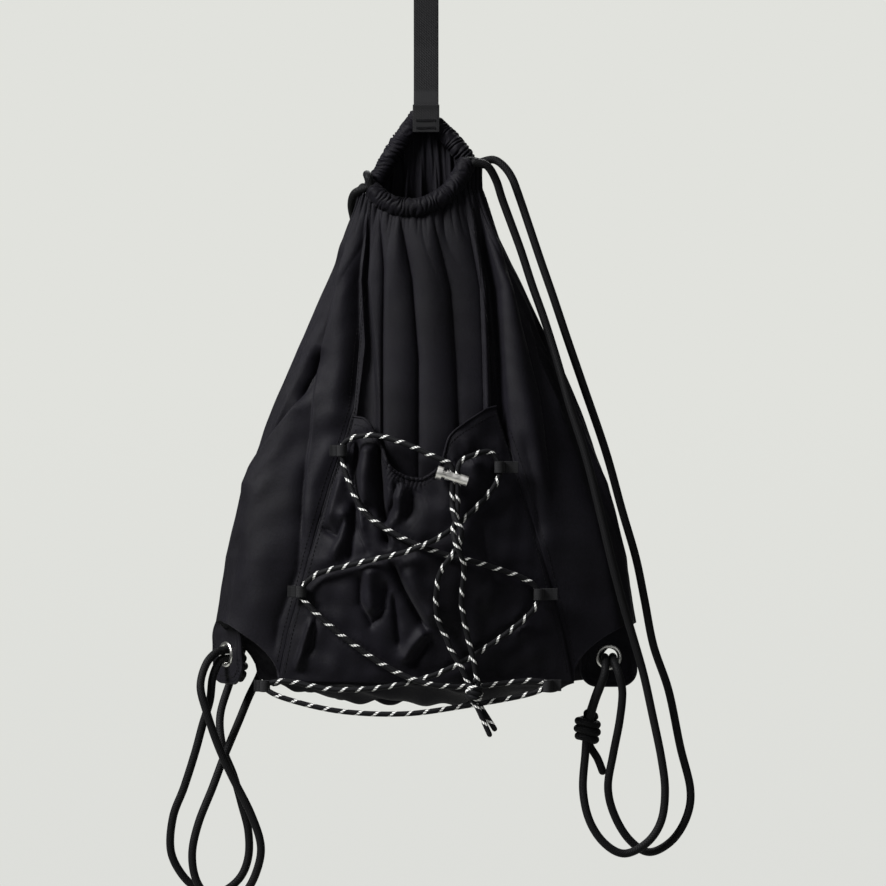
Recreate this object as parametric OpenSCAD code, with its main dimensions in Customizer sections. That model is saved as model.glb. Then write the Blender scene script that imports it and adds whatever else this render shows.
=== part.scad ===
// Drawstring backpack with a gathered mouth, a laced front pocket and two shoulder cords.
// The origin is the top inside of the hanging loop; +Z is up and the front faces -Y.

/* [Bag] */
// Width of the bag at its widest, near the base
bag_w = 340; // [300:5:380]
// Width of the cinched mouth, from corner to corner
mouth_w = 96; // [84:1:110]
// Height from the corners of the mouth down to the front bottom seam
bag_h = 394; // [370:1:430]
// Distance from the hanging loop down to the corners of the mouth
mouth_drop = 160; // [150:1:170]
// Depth of the front of the bag at its fullest, from the side line
belly_front = 46; // [40:1:56]
// Depth of the back of the bag at its fullest, from the side line
belly_back = 34; // [28:1:44]
// Depth of the mouth on each side of the side line
mouth_depth = 15; // [13:1:20]
// Thickness of the fabric walls
fabric_t = 2; // [1.6:0.1:2.6]
// Dip of the front edge of the mouth below its corners
front_sag = 26; // [18:1:32]
// Rise of the back edge of the mouth above its corners
back_rise = 50; // [44:1:56]
// Height by which the left corner of the mouth hangs below the right one
mouth_tilt = 22; // [10:1:26]
// Sag of the base below the front bottom seam
base_sag = 18; // [10:1:26]
// Drop of the back bottom seam below the front one
back_drop = 8; // [0:1:12]
// Rise of the bottom edge at each side, over the corner tab
corner_lift = 48; // [40:1:52]

/* [Casing] */
// Outer diameter of the gathered casing round the mouth
casing_d = 16; // [15.8:0.1:17]
// Wall of the casing
casing_wall = 0.8; // [0.6:0.1:1]

/* [Pocket] */
// Distance from the corners of the mouth down to the pocket's top edge
pocket_drop = 183; // [175:1:200]
// Depth of the gathered dip in the pocket's top edge
pocket_dip = 50; // [30:1:60]
// How far the middle of the pocket stands off the front panel
pocket_bulge = 14; // [12:1:16]
// Diameter of the elastic in the pocket's top edge
elastic_d = 3; // [2:0.5:4]

/* [Hanging strap] */
// Width of the webbing
strap_w = 20; // [16:1:25]
// Thickness of the webbing
strap_t = 1.6; // [1.2:0.1:2]
// Width of the gap at the top of the loop
loop_gap = 8; // [6:0.5:12]
// Distance from the top of the loop down to the sewn ends
strap_reach = 114; // [110:1:120]

/* [Cords] */
// Diameter of the drawcords
cord_d = 6.5; // [5:0.1:6.6]
// Diameter of the bungee
bungee_d = 4.2; // [3.6:0.1:4.4]

/* [Corner tabs and eyelets] */
// Width of a corner tab
tab_w = 46; // [40:1:52]
// Height of a corner tab
tab_h = 48; // [42:1:54]
// Thickness of a corner tab
tab_t = 2.4; // [2:0.1:3]
// Diameter of the eyelet's hole
eyelet_hole_d = 14; // [13.8:0.1:15]
// Diameter of the eyelet's flange
eyelet_flange_d = 21; // [19:0.5:24]
// Thickness of the eyelet's flange
flange_t = 1.6; // [1.2:0.1:2]
// Wall of the eyelet's barrel
eyelet_wall = 0.7; // [0.5:0.1:0.9]
// Angle by which the left tab is folded back
left_fold = 55; // [40:1:60]

/* [Toggle] */
// Diameter of the toggle's barrel
barrel_d = 8; // [7.8:0.1:10]
// Length of the toggle's barrel
barrel_l = 18; // [17.5:0.1:22]
// Diameter of the plunger's rod
plunger_d = 6; // [5.6:0.1:6.4]
// Diameter of the push button
button_d = 10.5; // [9.5:0.1:13]
// Length of the push button
button_l = 4.5; // [3.5:0.1:6]
// Travel of the push button
press_travel = 2.5; // [1.5:0.1:2.8]
// Clearance all round the plunger in its bore
running_gap = 0.05; // [0.03:0.01:0.1]
// Clearance all round the bungee in the toggle
cord_gap = 0.15; // [0.1:0.05:0.3]

/* [Hidden] */

// Colours of the real materials
nylon = "#1b1a1f";
webbing = "#3a3b40";
cord_black = "#17171a";
bungee_black = "#202024";
metal = "#c9c9c6";
round_n = 48;

// Shape of the bag: rows of [share of the height, share of the change]
FLARE = [[0, 0], [0.1, 0.11], [0.25, 0.33], [0.45, 0.62], [0.6, 0.8], [0.75, 0.92], [0.9, 0.99], [1, 1]];
BELLY = [[0, 0], [0.25, 0.4], [0.5, 0.75], [0.75, 1], [1, 0.9]];
// Place of the princess seams: rows of [share of the height, share of the half width]
SEAM = [[0, 0.8], [0.2, 0.58], [0.45, 0.46], [0.75, 0.58], [1, 0.69]];
back_seam = 0.8;
// Pocket's top edge: rows of [share of the width, share of the dip]
POCKET_EDGE = [
    [0, 0], [0.08, 0.03], [0.13, 0.11], [0.16, 0.22], [0.2, 0.39], [0.25, 0.55], [0.29, 0.76], [0.33, 0.88],
    [0.4, 0.97], [0.48, 1], [0.53, 0.92], [0.57, 0.82], [0.6, 0.68], [0.64, 0.34], [0.69, 0.22],
    [0.77, 0.09], [0.86, -0.03], [0.93, -0.12], [1, -0.16]
];
// Power of the back edge's rise: nearer 1 is a sharper peak
peak_power = 1.12;
mouth_shift = -4;
mid_y = -14;
corner_z = -mouth_drop;
base_z = corner_z - bag_h;
left_z = corner_z - 8;
right_z = left_z + mouth_tilt;

function share_down(z) = (corner_z - z) / bag_h;
function half_width(z) = lerp(mouth_w, bag_w, lookup(share_down(z), FLARE)) / 2;
function depth_front(z) = lerp(mouth_depth, belly_front, lookup(share_down(z), BELLY));
function depth_back(z) = lerp(mouth_depth, belly_back, lookup(share_down(z), BELLY));
function squareness(z) = 2 + 0.3 * min(1, max(0, share_down(z)));
function middle_x(z) = mouth_shift * max(0, 1 - 2.5 * max(0, share_down(z)));

function lerp(a, b, t) = a + (b - a) * t;
function unit(v) = v / norm(v);
function signed_power(a, e) = sign(a) * pow(abs(a), e);

// Point of the bag's wall; angle 90 is the middle of the front, 0 the right side, -90 the back
function wall_point(angle, z, inset) =
    let (
        e = 2 / squareness(z),
        w = half_width(z) - inset,
        d = (sin(angle) > 0 ? depth_front(z) : depth_back(z)) - inset
    )
    [middle_x(z) + w * signed_power(cos(angle), e), mid_y - d * signed_power(sin(angle), e), z];

// Angle at which the wall stands at a share of its half width
function angle_at(share, z) = acos(pow(share, squareness(z) / 2));
function front_angle(z) = angle_at(lookup(share_down(z), SEAM), z);
function back_angle(z) = angle_at(back_seam, z);

// Y of the front wall's outer face at x and z
function front_y(x, z) =
    let (
        m = squareness(z),
        f = min(1, abs(x - middle_x(z)) / half_width(z))
    )
    mid_y - depth_front(z) * pow(1 - pow(f, m), 1 / m);

// Grids and sheets: u runs to the right seen from outside, v runs down
function grid(nu, nv, f) = [for (j = [0:nv]) for (i = [0:nu]) f(i / nu, j / nv)];
function cell(a, b, c, d) = [[a, b, c], [a, c, d]];
function sheet_faces(nu, nv) =
    let (
        row = nu + 1,
        back = row * (nv + 1)
    )
    [
        for (j = [0:nv - 1])
            for (i = [0:nu - 1])
                let (a = j * row + i, b = a + 1, c = b + row, d = a + row)
                each concat(cell(a, b, c, d), cell(back + a, back + d, back + c, back + b)),
        for (i = [0:nu - 1])
            let (a = i, b = nv * row + i)
            each concat(
                cell(a, back + a, back + a + 1, a + 1),
                cell(b, b + 1, back + b + 1, back + b)),
        for (j = [0:nv - 1])
            let (a = j * row, b = a + nu)
            each concat(
                cell(back + a, a, a + row, back + a + row),
                cell(back + b, back + b + row, b + row, b))
    ];
module sheet(nu, nv, outer, inner) {
    polyhedron(concat(grid(nu, nv, outer), grid(nu, nv, inner)), sheet_faces(nu, nv));
}

// The four wall panels: each has its angles, its top edge and its bottom edge
front_cells = 14;
side_cells = 10;
wall_rows = 14;
function front_top(u) = lerp(left_z, right_z, u) - front_sag * 4 * u * (1 - u);
function back_top(u) = lerp(right_z, left_z, u) + back_rise * (1 - pow(abs(2 * u - 1), peak_power));
function side_bottom(u) = base_z + corner_lift * pow(sin(180 * u), 0.5);
function back_bottom(u) = base_z - back_drop * 4 * u * (1 - u);
function front_wall(u, z, inset) = wall_point(lerp(180 - front_angle(z), front_angle(z), u), z, inset);
function right_wall(u, z, inset) = wall_point(lerp(front_angle(z), -back_angle(z), u), z, inset);
function back_wall(u, z, inset) = wall_point(lerp(-back_angle(z), back_angle(z) - 180, u), z, inset);
function left_wall(u, z, inset) = wall_point(lerp(back_angle(z) - 180, -180 - front_angle(z), u), z, inset);
module wall(cells, place, top, bottom) {
    sheet(cells, wall_rows,
        function (u, v) place(u, lerp(top(u), bottom(u), v), 0),
        function (u, v) place(u, lerp(top(u), bottom(u), v), fabric_t));
}

// The base: rings from the wall's bottom edge to the middle
RING_SHARE = [1, 0.85, 0.65, 0.4, 0.15];
base_shift = 8;
base_fullness = 2.2;
base_middle = [0, mid_y - base_shift, base_z - base_sag];
function round_edge(cells, place, bottom, inset) =
    [for (i = [0:cells - 1]) place(i / cells, bottom(i / cells), inset)];
function base_edge(inset) = concat(
    round_edge(front_cells, function (u, z, t) front_wall(u, z, t), function (u) base_z, inset),
    round_edge(side_cells, function (u, z, t) right_wall(u, z, t), function (u) side_bottom(u), inset),
    round_edge(front_cells, function (u, z, t) back_wall(u, z, t), function (u) back_bottom(u), inset),
    round_edge(side_cells, function (u, z, t) left_wall(u, z, t), function (u) side_bottom(u), inset));
function base_point(edge, share) =
    let (
        lifted = min(1, max(0, (edge.z - base_z) / corner_lift)),
        rise = lerp(1 - pow(share, base_fullness), pow(1 - share, 1.6), lifted)
    )
    [
        lerp(base_middle.x, edge.x, share),
        lerp(base_middle.y, edge.y, share),
        lerp(edge.z, base_middle.z, rise)
    ];

// Cord sweeps: a smooth route through the points, with a frame carried along it
function spline_point(a, b, c, d, t) =
    0.5 * (2 * b + (c - a) * t + (2 * a - 5 * b + 4 * c - d) * t * t + (3 * b - a - 3 * c + d) * t * t * t);
function route(p, step) =
    let (last = len(p) - 1)
    [
        for (i = [0:last - 1])
            let (n = max(1, round(norm(p[i + 1] - p[i]) / step)))
            for (k = [0:n - 1])
                spline_point(p[max(i - 1, 0)], p[i], p[i + 1], p[min(i + 2, last)], k / n),
        p[last]
    ];
function tangents(p) = [for (i = [0:len(p) - 1]) unit(p[min(i + 1, len(p) - 1)] - p[max(i - 1, 0)])];
function carried(n, t) = unit(n - (n * t) * t);
function normals(t, first) = [
    for (i = 0, n = carried(first, t[0]); i < len(t); i = i + 1, n = carried(n, t[min(i, len(t) - 1)])) n
];
function rings(p, r, sides) =
    let (
        t = tangents(p),
        n = normals(t, abs(t[0].x) < 0.8 ? [1, 0, 0] : [0, 0, 1])
    )
    [
        for (i = [0:len(p) - 1])
            for (k = [0:sides - 1])
                p[i] + r * (cos(360 * k / sides) * n[i] + sin(360 * k / sides) * cross(t[i], n[i]))
    ];
function tube_faces(count, sides, first) = [
    for (i = [0:count - 2])
        for (k = [0:sides - 1])
            let (a = first + i * sides + k, b = first + i * sides + (k + 1) % sides)
            each cell(a, a + sides, b + sides, b)
];
function flipped(faces) = [for (f = faces) [f[0], f[2], f[1]]];
module tube(p, d, sides) {
    n = len(p);
    polyhedron(rings(p, d / 2, sides), concat(
        tube_faces(n, sides, 0),
        [[for (k = [0:sides - 1]) k]],
        [[for (k = [sides - 1:-1:0]) (n - 1) * sides + k]]));
}
module hollow_tube(p, d, bore, sides) {
    n = len(p);
    back = n * sides;
    polyhedron(concat(rings(p, d / 2, sides), rings(p, bore / 2, sides)), concat(
        tube_faces(n, sides, 0),
        flipped(tube_faces(n, sides, back)),
        [for (k = [0:sides - 1]) each cell(k, (k + 1) % sides, back + (k + 1) % sides, back + k)],
        [for (k = [0:sides - 1])
            let (a = back - sides + k, b = back - sides + (k + 1) % sides)
            each cell(a, back + a, back + b, b)]));
}

// Casings: each follows its panel's top edge, which is sewn a little way into its wall
casing_sides = 12;
casing_lift = casing_d / 2 * cos(180 / casing_sides) - casing_wall / 2;
lane = cord_d / 2 + 0.1;
function on_edge(place, z) = (place(z, 0) + place(z, fabric_t)) / 2 + [0, 0, casing_lift];
front_steps = 8;
back_steps = 10;
FRONT_LINE = [
    for (i = [0:front_steps])
        let (u = i / front_steps)
        on_edge(function (z, t) front_wall(u, z, t), front_top(u))
];
BACK_LINE = [
    for (i = [0:back_steps])
        let (u = i / back_steps)
        on_edge(function (z, t) back_wall(u, z, t), back_top(u))
];
front_left = FRONT_LINE[0];
front_right = FRONT_LINE[front_steps];
back_right = BACK_LINE[0];
back_left = BACK_LINE[back_steps];
function moved(p, y) = [for (q = p) q + [0, y, 0]];
function reversed(p) = [for (i = [len(p) - 1:-1:0]) p[i]];
// The right cord enters at the right, runs round the left corner and comes back
turn_reach = 4;
turn_lift = 9;
turn_bulge = 13;
RUN_RIGHT = concat(
    reversed(moved(FRONT_LINE, -lane)),
    [
        front_left + [-0.8 * turn_reach, -lane, turn_lift],
        (front_left + back_left) / 2 + [-turn_reach, 0, turn_lift + 3],
        back_left + [-0.6 * turn_reach, lane, turn_lift]
    ],
    reversed(moved(BACK_LINE, lane)));
RUN_LEFT = concat(
    moved(FRONT_LINE, lane),
    [(front_right + back_right) / 2 + [turn_bulge, 0, -2]],
    moved(BACK_LINE, -lane));

// Routes of the free cords, from the mouth's corners to the eyelets
RIGHT_OUTER = [
    [44, -5, -138], [54, -5, -136], [62, -7, -141], [69, -9, -151], [75, -11, -167], [83, -13, -191],
    [92, -14, -218], [102, -15, -247], [113, -15, -280], [126, -16, -318], [144, -17, -371],
    [157, -18, -418], [168, -18, -456], [175, -18, -490], [182, -19, -526], [194, -21, -562],
    [203, -23, -606], [211, -25, -640], [208, -27, -662], [196, -28, -681], [178, -29, -690],
    [162, -29, -680], [150, -30, -660], [145, -31, -638], [149, -32, -612], [154, -35, -585],
    [156, -39, -562], [153, -40, -547], [149.4, -33, -537], [149.4, -22, -535],
    [149, -11, -537], [145, -6, -547], [138, -9, -562], [132, -15, -578]
];
RIGHT_INNER = [
    [39, -27, -140], [49, -26, -143], [56, -22, -154], [61, -19, -169], [68, -18, -188], [76, -18, -210],
    [85, -20, -238], [95, -25, -267], [105, -31, -300], [115, -36, -336], [127, -40, -374],
    [138, -43, -418], [147, -44, -456], [156, -42, -490], [165, -39, -520], [173, -37, -548],
    [180, -37, -580], [187, -37, -614], [190, -37, -640], [187, -37, -664], [176, -38, -681],
    [158, -38, -690], [142, -38, -682], [130, -37, -664], [125, -34, -640], [127, -29, -612],
    [129, -26, -592], [134, -33, -571], [139, -40, -556], [142, -41, -546], [142.6, -34, -537],
    [142.6, -22, -535], [141, -13, -538]
];
LEFT_INNER = [
    [-47, -20, -160], [-57, -17, -164], [-60, -7, -173], [-58, 4, -186], [-56, 10, -205], [-62, 14, -235],
    [-74, 16, -290], [-90, 19, -350], [-108, 22, -430], [-123, 27, -500], [-133, 28, -545],
    [-144, 20, -570], [-151, 6, -588], [-157, -5, -603], [-163, -12, -618], [-171, -16, -640],
    [-182, -19, -668], [-187, -20, -692], [-184, -20, -713], [-174, -20, -727], [-160, -20, -732],
    [-146, -20, -725], [-136, -21, -708], [-132, -22, -686], [-140, -23, -660], [-155, -24, -630],
    [-166, -26, -605], [-175, -28, -578], [-180, -25, -558], [-176, -17, -541], [-168, -9, -532],
    [-160, -3.4, -530.6], [-154, 1, -531.5], [-152, 8, -537]
];
LEFT_OUTER = [
    [-51, -4, -158], [-55, 3, -164], [-53, 11, -176], [-54, 17, -195], [-60, 21, -215], [-70, 23, -240],
    [-84, 24, -290], [-102, 24, -350], [-119, 26, -420], [-136, 28, -490], [-151, 29, -535], [-161, 26, -562],
    [-167, 12, -586], [-164, 2, -610], [-155, -3, -632], [-148, -5, -656], [-143, -6, -676],
    [-143, -6, -697], [-150, -6, -714], [-165, -7, -725], [-182, -7, -723], [-196, -8, -711],
    [-205, -10, -691], [-203, -12, -664], [-194, -14, -640], [-185, -16, -612], [-179, -17, -590],
    [-173, -18, -570], [-171, -15, -552], [-166, -8, -539.5], [-160, -3.4, -537.4], [-154, 1, -538.5],
    [-152, 7, -545]
];
// Route of the bungee, from the toggle round the six anchors and back
LACING = [
    [20.9, -78, -390.4], [20.8, -78, -384], [17, -78, -379], [6, -77, -374.5], [-15, -73, -365],
    [-40, -67, -358], [-60, -61, -361], [-66, -59, -370], [-62, -63, -390], [-48, -71, -418],
    [-19, -77, -438], [12, -78, -450],
    [45, -74, -459], [78, -66, -471], [89, -63.5, -483], [80, -65, -500], [45, -67, -526],
    [7, -66, -546], [-33, -62, -556], [-73, -59, -558], [-110, -54, -552], [-127, -52, -556],
    [-112, -56, -565], [-68, -60, -575], [-17, -62, -577], [30, -61, -571], [80, -60, -562],
    [96, -60, -554], [80, -61, -551], [40, -65, -555], [3, -71, -553], [-30, -68, -540], [-65, -65, -516],
    [-90, -62, -494], [-98, -60.5, -481], [-85, -64, -467], [-53, -73, -458], [-13, -83, -448],
    [15, -79, -435], [40, -72, -414], [55, -67, -396], [58, -65, -382], [50, -66, -371],
    [36, -72, -374], [28, -76.5, -378], [25.2, -78, -384],
    [25.1, -78, -391.6]
];
TAIL_LEFT = [
    [20.9, -78, -390.4], [20.9, -78, -400], [20.9, -78, -410], [22.5, -86, -421], [28, -89, -432],
    [26, -85, -443], [18, -85, -455], [12, -81, -464], [9, -79, -475], [8, -76, -491], [10, -74, -503],
    [15, -73, -514], [21, -74, -528], [27, -75, -538], [34, -75, -553]
];
TAIL_RIGHT = [
    [25.1, -78, -391.6], [25.1, -78, -400], [25.1, -78, -410], [24.5, -80, -421], [21.5, -84.5, -432],
    [24, -90, -443], [29, -87, -455], [30, -82, -463], [29, -79, -475], [28, -76, -488], [30, -75, -502],
    [33, -74, -516], [37, -75, -532], [41, -75, -553]
];
thick_sides = 10;
thin_sides = 8;
thick_step = 2.6 * cord_d;
thin_step = 3.4 * bungee_d;
tail_step = 11;
end_step = 8;

// Places of the fittings
right_eyelet = [146, -22, -535];
left_eyelet = [-160, -3.4, -534];
right_knot = [129, -22, -592];
left_knot = [-152, 15, -545];
bungee_knot_place = [38, -75, -559];
anchor_top_left_place = [-66, -59, -370];
anchor_top_right_place = [58, -65, -383];
anchor_mid_left_place = [-98, -60.5, -481];
anchor_mid_right_place = [89, -63.5, -483];
anchor_low_left_place = [-127, -52, -556];
anchor_low_right_place = [96, -60, -555];
toggle_place = [23, -78, -391];
toggle_tilt = 17;
tab_round = 14;

// Bungee anchors: webbing folded to a loop whose hole is upright
anchor_w = 9;
anchor_t = 1.4;
anchor_hole = bungee_d + 1.4;

// Toggle, along its own axis from the mouth of the barrel
slot_l = 2 * bungee_d + 3 * cord_gap;
slot_w = bungee_d + 2 * cord_gap;
slot_start = 3.2;
cap_t = 1.2;
cap_wall = 0.9;
spring_wire = 0.6;
spring_turns = 4;
button_gap = press_travel + 0.3;
slot_end = slot_start + slot_l;
rod_end = slot_end + 0.9;

module front_panel() {
    color(nylon)
        wall(front_cells, function (u, z, t) front_wall(u, z, t), function (u) front_top(u),
            function (u) base_z);
}
module side_panel_right() {
    color(nylon)
        wall(side_cells, function (u, z, t) right_wall(u, z, t), function (u) right_z,
            function (u) side_bottom(u));
}
module back_panel() {
    color(nylon)
        wall(front_cells, function (u, z, t) back_wall(u, z, t), function (u) back_top(u),
            function (u) back_bottom(u));
}
module side_panel_left() {
    color(nylon)
        wall(side_cells, function (u, z, t) left_wall(u, z, t), function (u) left_z,
            function (u) side_bottom(u));
}

module bottom_panel() {
    outer = base_edge(0);
    inner = base_edge(fabric_t);
    n = len(outer);
    top = concat(outer, [for (s = RING_SHARE) each [for (p = inner) base_point(p, s)]], [base_middle]);
    count = len(top);
    last = len(RING_SHARE);
    under = [for (p = top) p - [0, 0, fabric_t]];
    color(nylon)
        polyhedron(concat(top, under), [
            for (j = [0:last - 1])
                for (k = [0:n - 1])
                    let (a = j * n + k, b = j * n + (k + 1) % n)
                    each concat(
                        cell(a, a + n, b + n, b),
                        cell(count + a, count + b, count + b + n, count + a + n)),
            for (k = [0:n - 1])
                let (a = last * n + k, b = last * n + (k + 1) % n)
                each [[a, count - 1, b], [count + a, count + b, 2 * count - 1]],
            for (k = [0:n - 1])
                let (b = (k + 1) % n)
                each cell(k, b, count + b, count + k)
        ]);
}

// Patch pocket: sewn along the princess seams and the bottom, standing off in the middle
pocket_gap = 0.5;
pocket_inset = 1;
pocket_cells = 18;
pocket_rows = 12;
pocket_z = corner_z - pocket_drop;
function seam_x(z) = half_width(z) * lookup(share_down(z), SEAM) - pocket_inset;
function pocket_top(u) = pocket_z - pocket_dip * lookup(u, POCKET_EDGE);
function pocket_swell(u, v) =
    pocket_bulge * (1 - pow(2 * u - 1, 2)) * pow(sin(180 * lerp(0.35, 1, v)), 0.8);
function pocket_point(u, v, inset) =
    let (
        z = lerp(pocket_top(u), base_z + 1, v),
        x = seam_x(z) * (2 * u - 1)
    )
    [x, front_y(x, z) - pocket_swell(u, v) - pocket_gap - fabric_t + inset, z];
module front_pocket() {
    color(nylon)
        sheet(pocket_cells, pocket_rows,
            function (u, v) pocket_point(u, v, 0),
            function (u, v) pocket_point(u, v, fabric_t));
}
module pocket_elastic() {
    line = [
        for (i = [0:12])
            pocket_point(lerp(0.16, 0.64, i / 12), 0, fabric_t / 2) + [0, 0, elastic_d / 2 + 0.3]
    ];
    color(nylon) tube(line, elastic_d, thin_sides);
}

module casing_front() {
    color(nylon) hollow_tube(FRONT_LINE, casing_d, casing_d - 2 * casing_wall, casing_sides);
}
module casing_back() {
    color(nylon) hollow_tube(BACK_LINE, casing_d, casing_d - 2 * casing_wall, casing_sides);
}

// Hanging strap: one length of webbing, folded over at the top, its ends either side of the casing
casing_top = BACK_LINE[back_steps / 2];
leg_gap = 0.2;
function strap_side(half, reach) = [
    [half + casing_d / 2 + 0.4, reach],
    [half + casing_d / 2 + 0.4, casing_top.z - 1],
    [half + casing_d / 4 + 1.5, casing_top.z + casing_d / 2 + 2.5],
    [half + leg_gap, casing_top.z + casing_d / 2 + 11],
    [half + leg_gap, -5.5 * loop_gap],
    [half + loop_gap / 2, -loop_gap / 2]
];
function strap_outline(half) = concat(
    strap_side(half, -strap_reach),
    [for (a = [15:15:165]) (loop_gap / 2 + half) * [cos(a), sin(a)] + [0, -loop_gap / 2]],
    [for (p = reversed(strap_side(half, -strap_reach))) [-p.x, p.y]]);
module hang_strap() {
    color(webbing)
        translate([-strap_w / 2, casing_top.y, 0])
            rotate([90, 0, 90])
                linear_extrude(strap_w)
                    polygon(concat(strap_outline(strap_t), reversed(strap_outline(0))));
}
module strap_bar_tacks() {
    face = casing_top.y - casing_d / 2 - 0.4 - strap_t;
    color(webbing)
        for (z = [-strap_reach + 3, -strap_reach + 9])
            translate([-strap_w / 2 + 2, face - 0.6, z - 0.75]) cube([strap_w - 4, 0.6, 1.5]);
}

// The cords
module shoulder_cord(points) {
    color(cord_black) tube(route(points, thick_step), cord_d, thick_sides);
}
module drawcord_run_left() {
    color(cord_black) tube(RUN_LEFT, cord_d, thick_sides);
}
module drawcord_run_right() {
    color(cord_black) tube(RUN_RIGHT, cord_d, thick_sides);
}
module drawcord_left_inner() {
    shoulder_cord(LEFT_INNER);
}
module drawcord_left_outer() {
    shoulder_cord(LEFT_OUTER);
}
module drawcord_right_inner() {
    shoulder_cord(RIGHT_INNER);
}
module drawcord_right_outer() {
    shoulder_cord(RIGHT_OUTER);
}
module bungee_lacing() {
    color(bungee_black) tube(route(LACING, thin_step), bungee_d, thin_sides);
}
module bungee_tail_left() {
    color(bungee_black) tube(route(TAIL_LEFT, tail_step), bungee_d, thin_sides);
}
module bungee_tail_right() {
    color(bungee_black) tube(route(TAIL_RIGHT, tail_step), bungee_d, thin_sides);
}

// Corner tab: a rounded flap with the eyelet's hole, seen along its own -Y
function flap_outline() = concat(
    [[-tab_w / 2, tab_h / 2 - 2], [tab_w / 2, tab_h / 2 - 2]],
    [for (a = [0:-15:-90]) [tab_w / 2, -tab_h / 2] + tab_round * [cos(a) - 1, sin(a) + 1]],
    [for (a = [-90:-15:-180]) [-tab_w / 2, -tab_h / 2] + tab_round * [cos(a) + 1, sin(a) + 1]]);
module corner_tab() {
    color(nylon)
        difference() {
            translate([0, tab_t / 2, -1]) rotate([90, 0, 0]) linear_extrude(tab_t) polygon(flap_outline());
            translate([0, tab_t, 0])
                rotate([90, 0, 0])
                    cylinder(h = 2 * tab_t, r = eyelet_hole_d / 2 + eyelet_wall + 0.1, $fn = round_n);
        }
}
// Eyelet: a rolled flange in front and a barrel through the tab
module eyelet() {
    r = eyelet_hole_d / 2;
    color(metal)
        rotate([90, 0, 0])
            rotate_extrude($fn = round_n)
                polygon([
                    [r, -tab_t / 2 - 1.2], [r + eyelet_wall, -tab_t / 2 - 1.2],
                    [r + eyelet_wall, tab_t / 2 + 0.05],
                    [eyelet_flange_d / 2 - 0.4, tab_t / 2 + 0.05], [eyelet_flange_d / 2, tab_t / 2 + 0.4],
                    [eyelet_flange_d / 2 - 0.8, tab_t / 2 + flange_t - 0.3],
                    [(r + eyelet_flange_d / 2) / 2, tab_t / 2 + flange_t],
                    [r + 0.5, tab_t / 2 + flange_t - 0.4],
                    [r, tab_t / 2 + 0.6]
                ]);
}
module eyelet_washer() {
    color(metal)
        rotate([90, 0, 0])
            rotate_extrude($fn = round_n)
                translate([eyelet_hole_d / 2 + eyelet_wall + 0.05, -tab_t / 2 - 0.85])
                    square([eyelet_flange_d / 2 - eyelet_hole_d / 2 - eyelet_wall - 0.55, 0.8]);
}
module at_left_eyelet() {
    translate(left_eyelet) rotate([0, 0, -left_fold]) children();
}
module corner_tab_left() {
    at_left_eyelet() corner_tab();
}
module corner_tab_right() {
    translate(right_eyelet) corner_tab();
}
module eyelet_left() {
    at_left_eyelet() eyelet();
}
module eyelet_right() {
    translate(right_eyelet) eyelet();
}
module eyelet_washer_left() {
    at_left_eyelet() eyelet_washer();
}
module eyelet_washer_right() {
    translate(right_eyelet) eyelet_washer();
}

// Knot: rounded turns of cord stacked along the standing part
module knot_turns(core_r, turn_r, count, pitch) {
    rotate_extrude($fn = 32)
        union() {
            translate([0, -(count - 1) * pitch / 2]) square([core_r, (count - 1) * pitch]);
            for (i = [0:count - 1])
                translate([core_r, (i - (count - 1) / 2) * pitch]) circle(r = turn_r, $fn = 16);
        }
}
module drawcord_knot() {
    knot_turns(6.5, cord_d / 2, 4, 6);
}
KNOT_TAIL = [[0, 0, -9], [3, 0, -16], [8, -1, -24], [12, -1, -34]];
module drawcord_knot_right() {
    color(cord_black)
        translate(right_knot)
            union() {
                drawcord_knot();
                tube(route(KNOT_TAIL, end_step), cord_d, thick_sides);
            }
}
module drawcord_knot_left() {
    color(cord_black) translate(left_knot) knot_turns(4, cord_d / 2, 3, 5);
}
BUNGEE_END_LEFT = [[-1.5, 0, -5], [3, 0, -13], [8, -1, -24], [12, -1, -33]];
BUNGEE_END_RIGHT = [[2, 1, -5], [6, 4, -13], [11, 4, -21], [16, 4, -29]];
module bungee_knot() {
    color(bungee_black)
        translate(bungee_knot_place)
            union() {
                knot_turns(3.4, bungee_d / 2, 3, 4.2);
                tube(route(BUNGEE_END_LEFT, end_step), bungee_d, thin_sides);
                tube(route(BUNGEE_END_RIGHT, end_step), bungee_d, thin_sides);
            }
}

// One anchor at a point of the lacing, its stem towards the seam
module anchor(place, stem, side) {
    color(webbing)
        translate(place)
            difference() {
                union() {
                    cube([anchor_hole + 2 * anchor_t, anchor_hole + 2 * anchor_t, anchor_w], center = true);
                    translate([side * (anchor_hole / 2 + stem / 2), anchor_hole / 2 + anchor_t / 2, 0])
                        cube([stem + anchor_t, anchor_t, anchor_w], center = true);
                }
                cube([anchor_hole, anchor_hole, 2 * anchor_w], center = true);
            }
}

module anchor_top_left() {
    anchor(anchor_top_left_place, 7, -1);
}
module anchor_top_right() {
    anchor(anchor_top_right_place, 12, 1);
}
module anchor_mid_left() {
    anchor(anchor_mid_left_place, 8, -1);
}
module anchor_mid_right() {
    anchor(anchor_mid_right_place, 12, 1);
}
module anchor_low_left() {
    anchor(anchor_low_left_place, 6, -1);
}
module anchor_low_right() {
    anchor(anchor_low_right_place, 8, 1);
}

// Toggle parts, built along X from the mouth of the barrel
module along_toggle() {
    translate(toggle_place)
        rotate([0, toggle_tilt, 0])
            translate([-(slot_start + slot_end) / 2, 0, 0])
                children();
}
module rod(x0, x1, d) {
    translate([x0, 0, 0]) rotate([0, 90, 0]) cylinder(h = x1 - x0, d = d, $fn = round_n);
}
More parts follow.
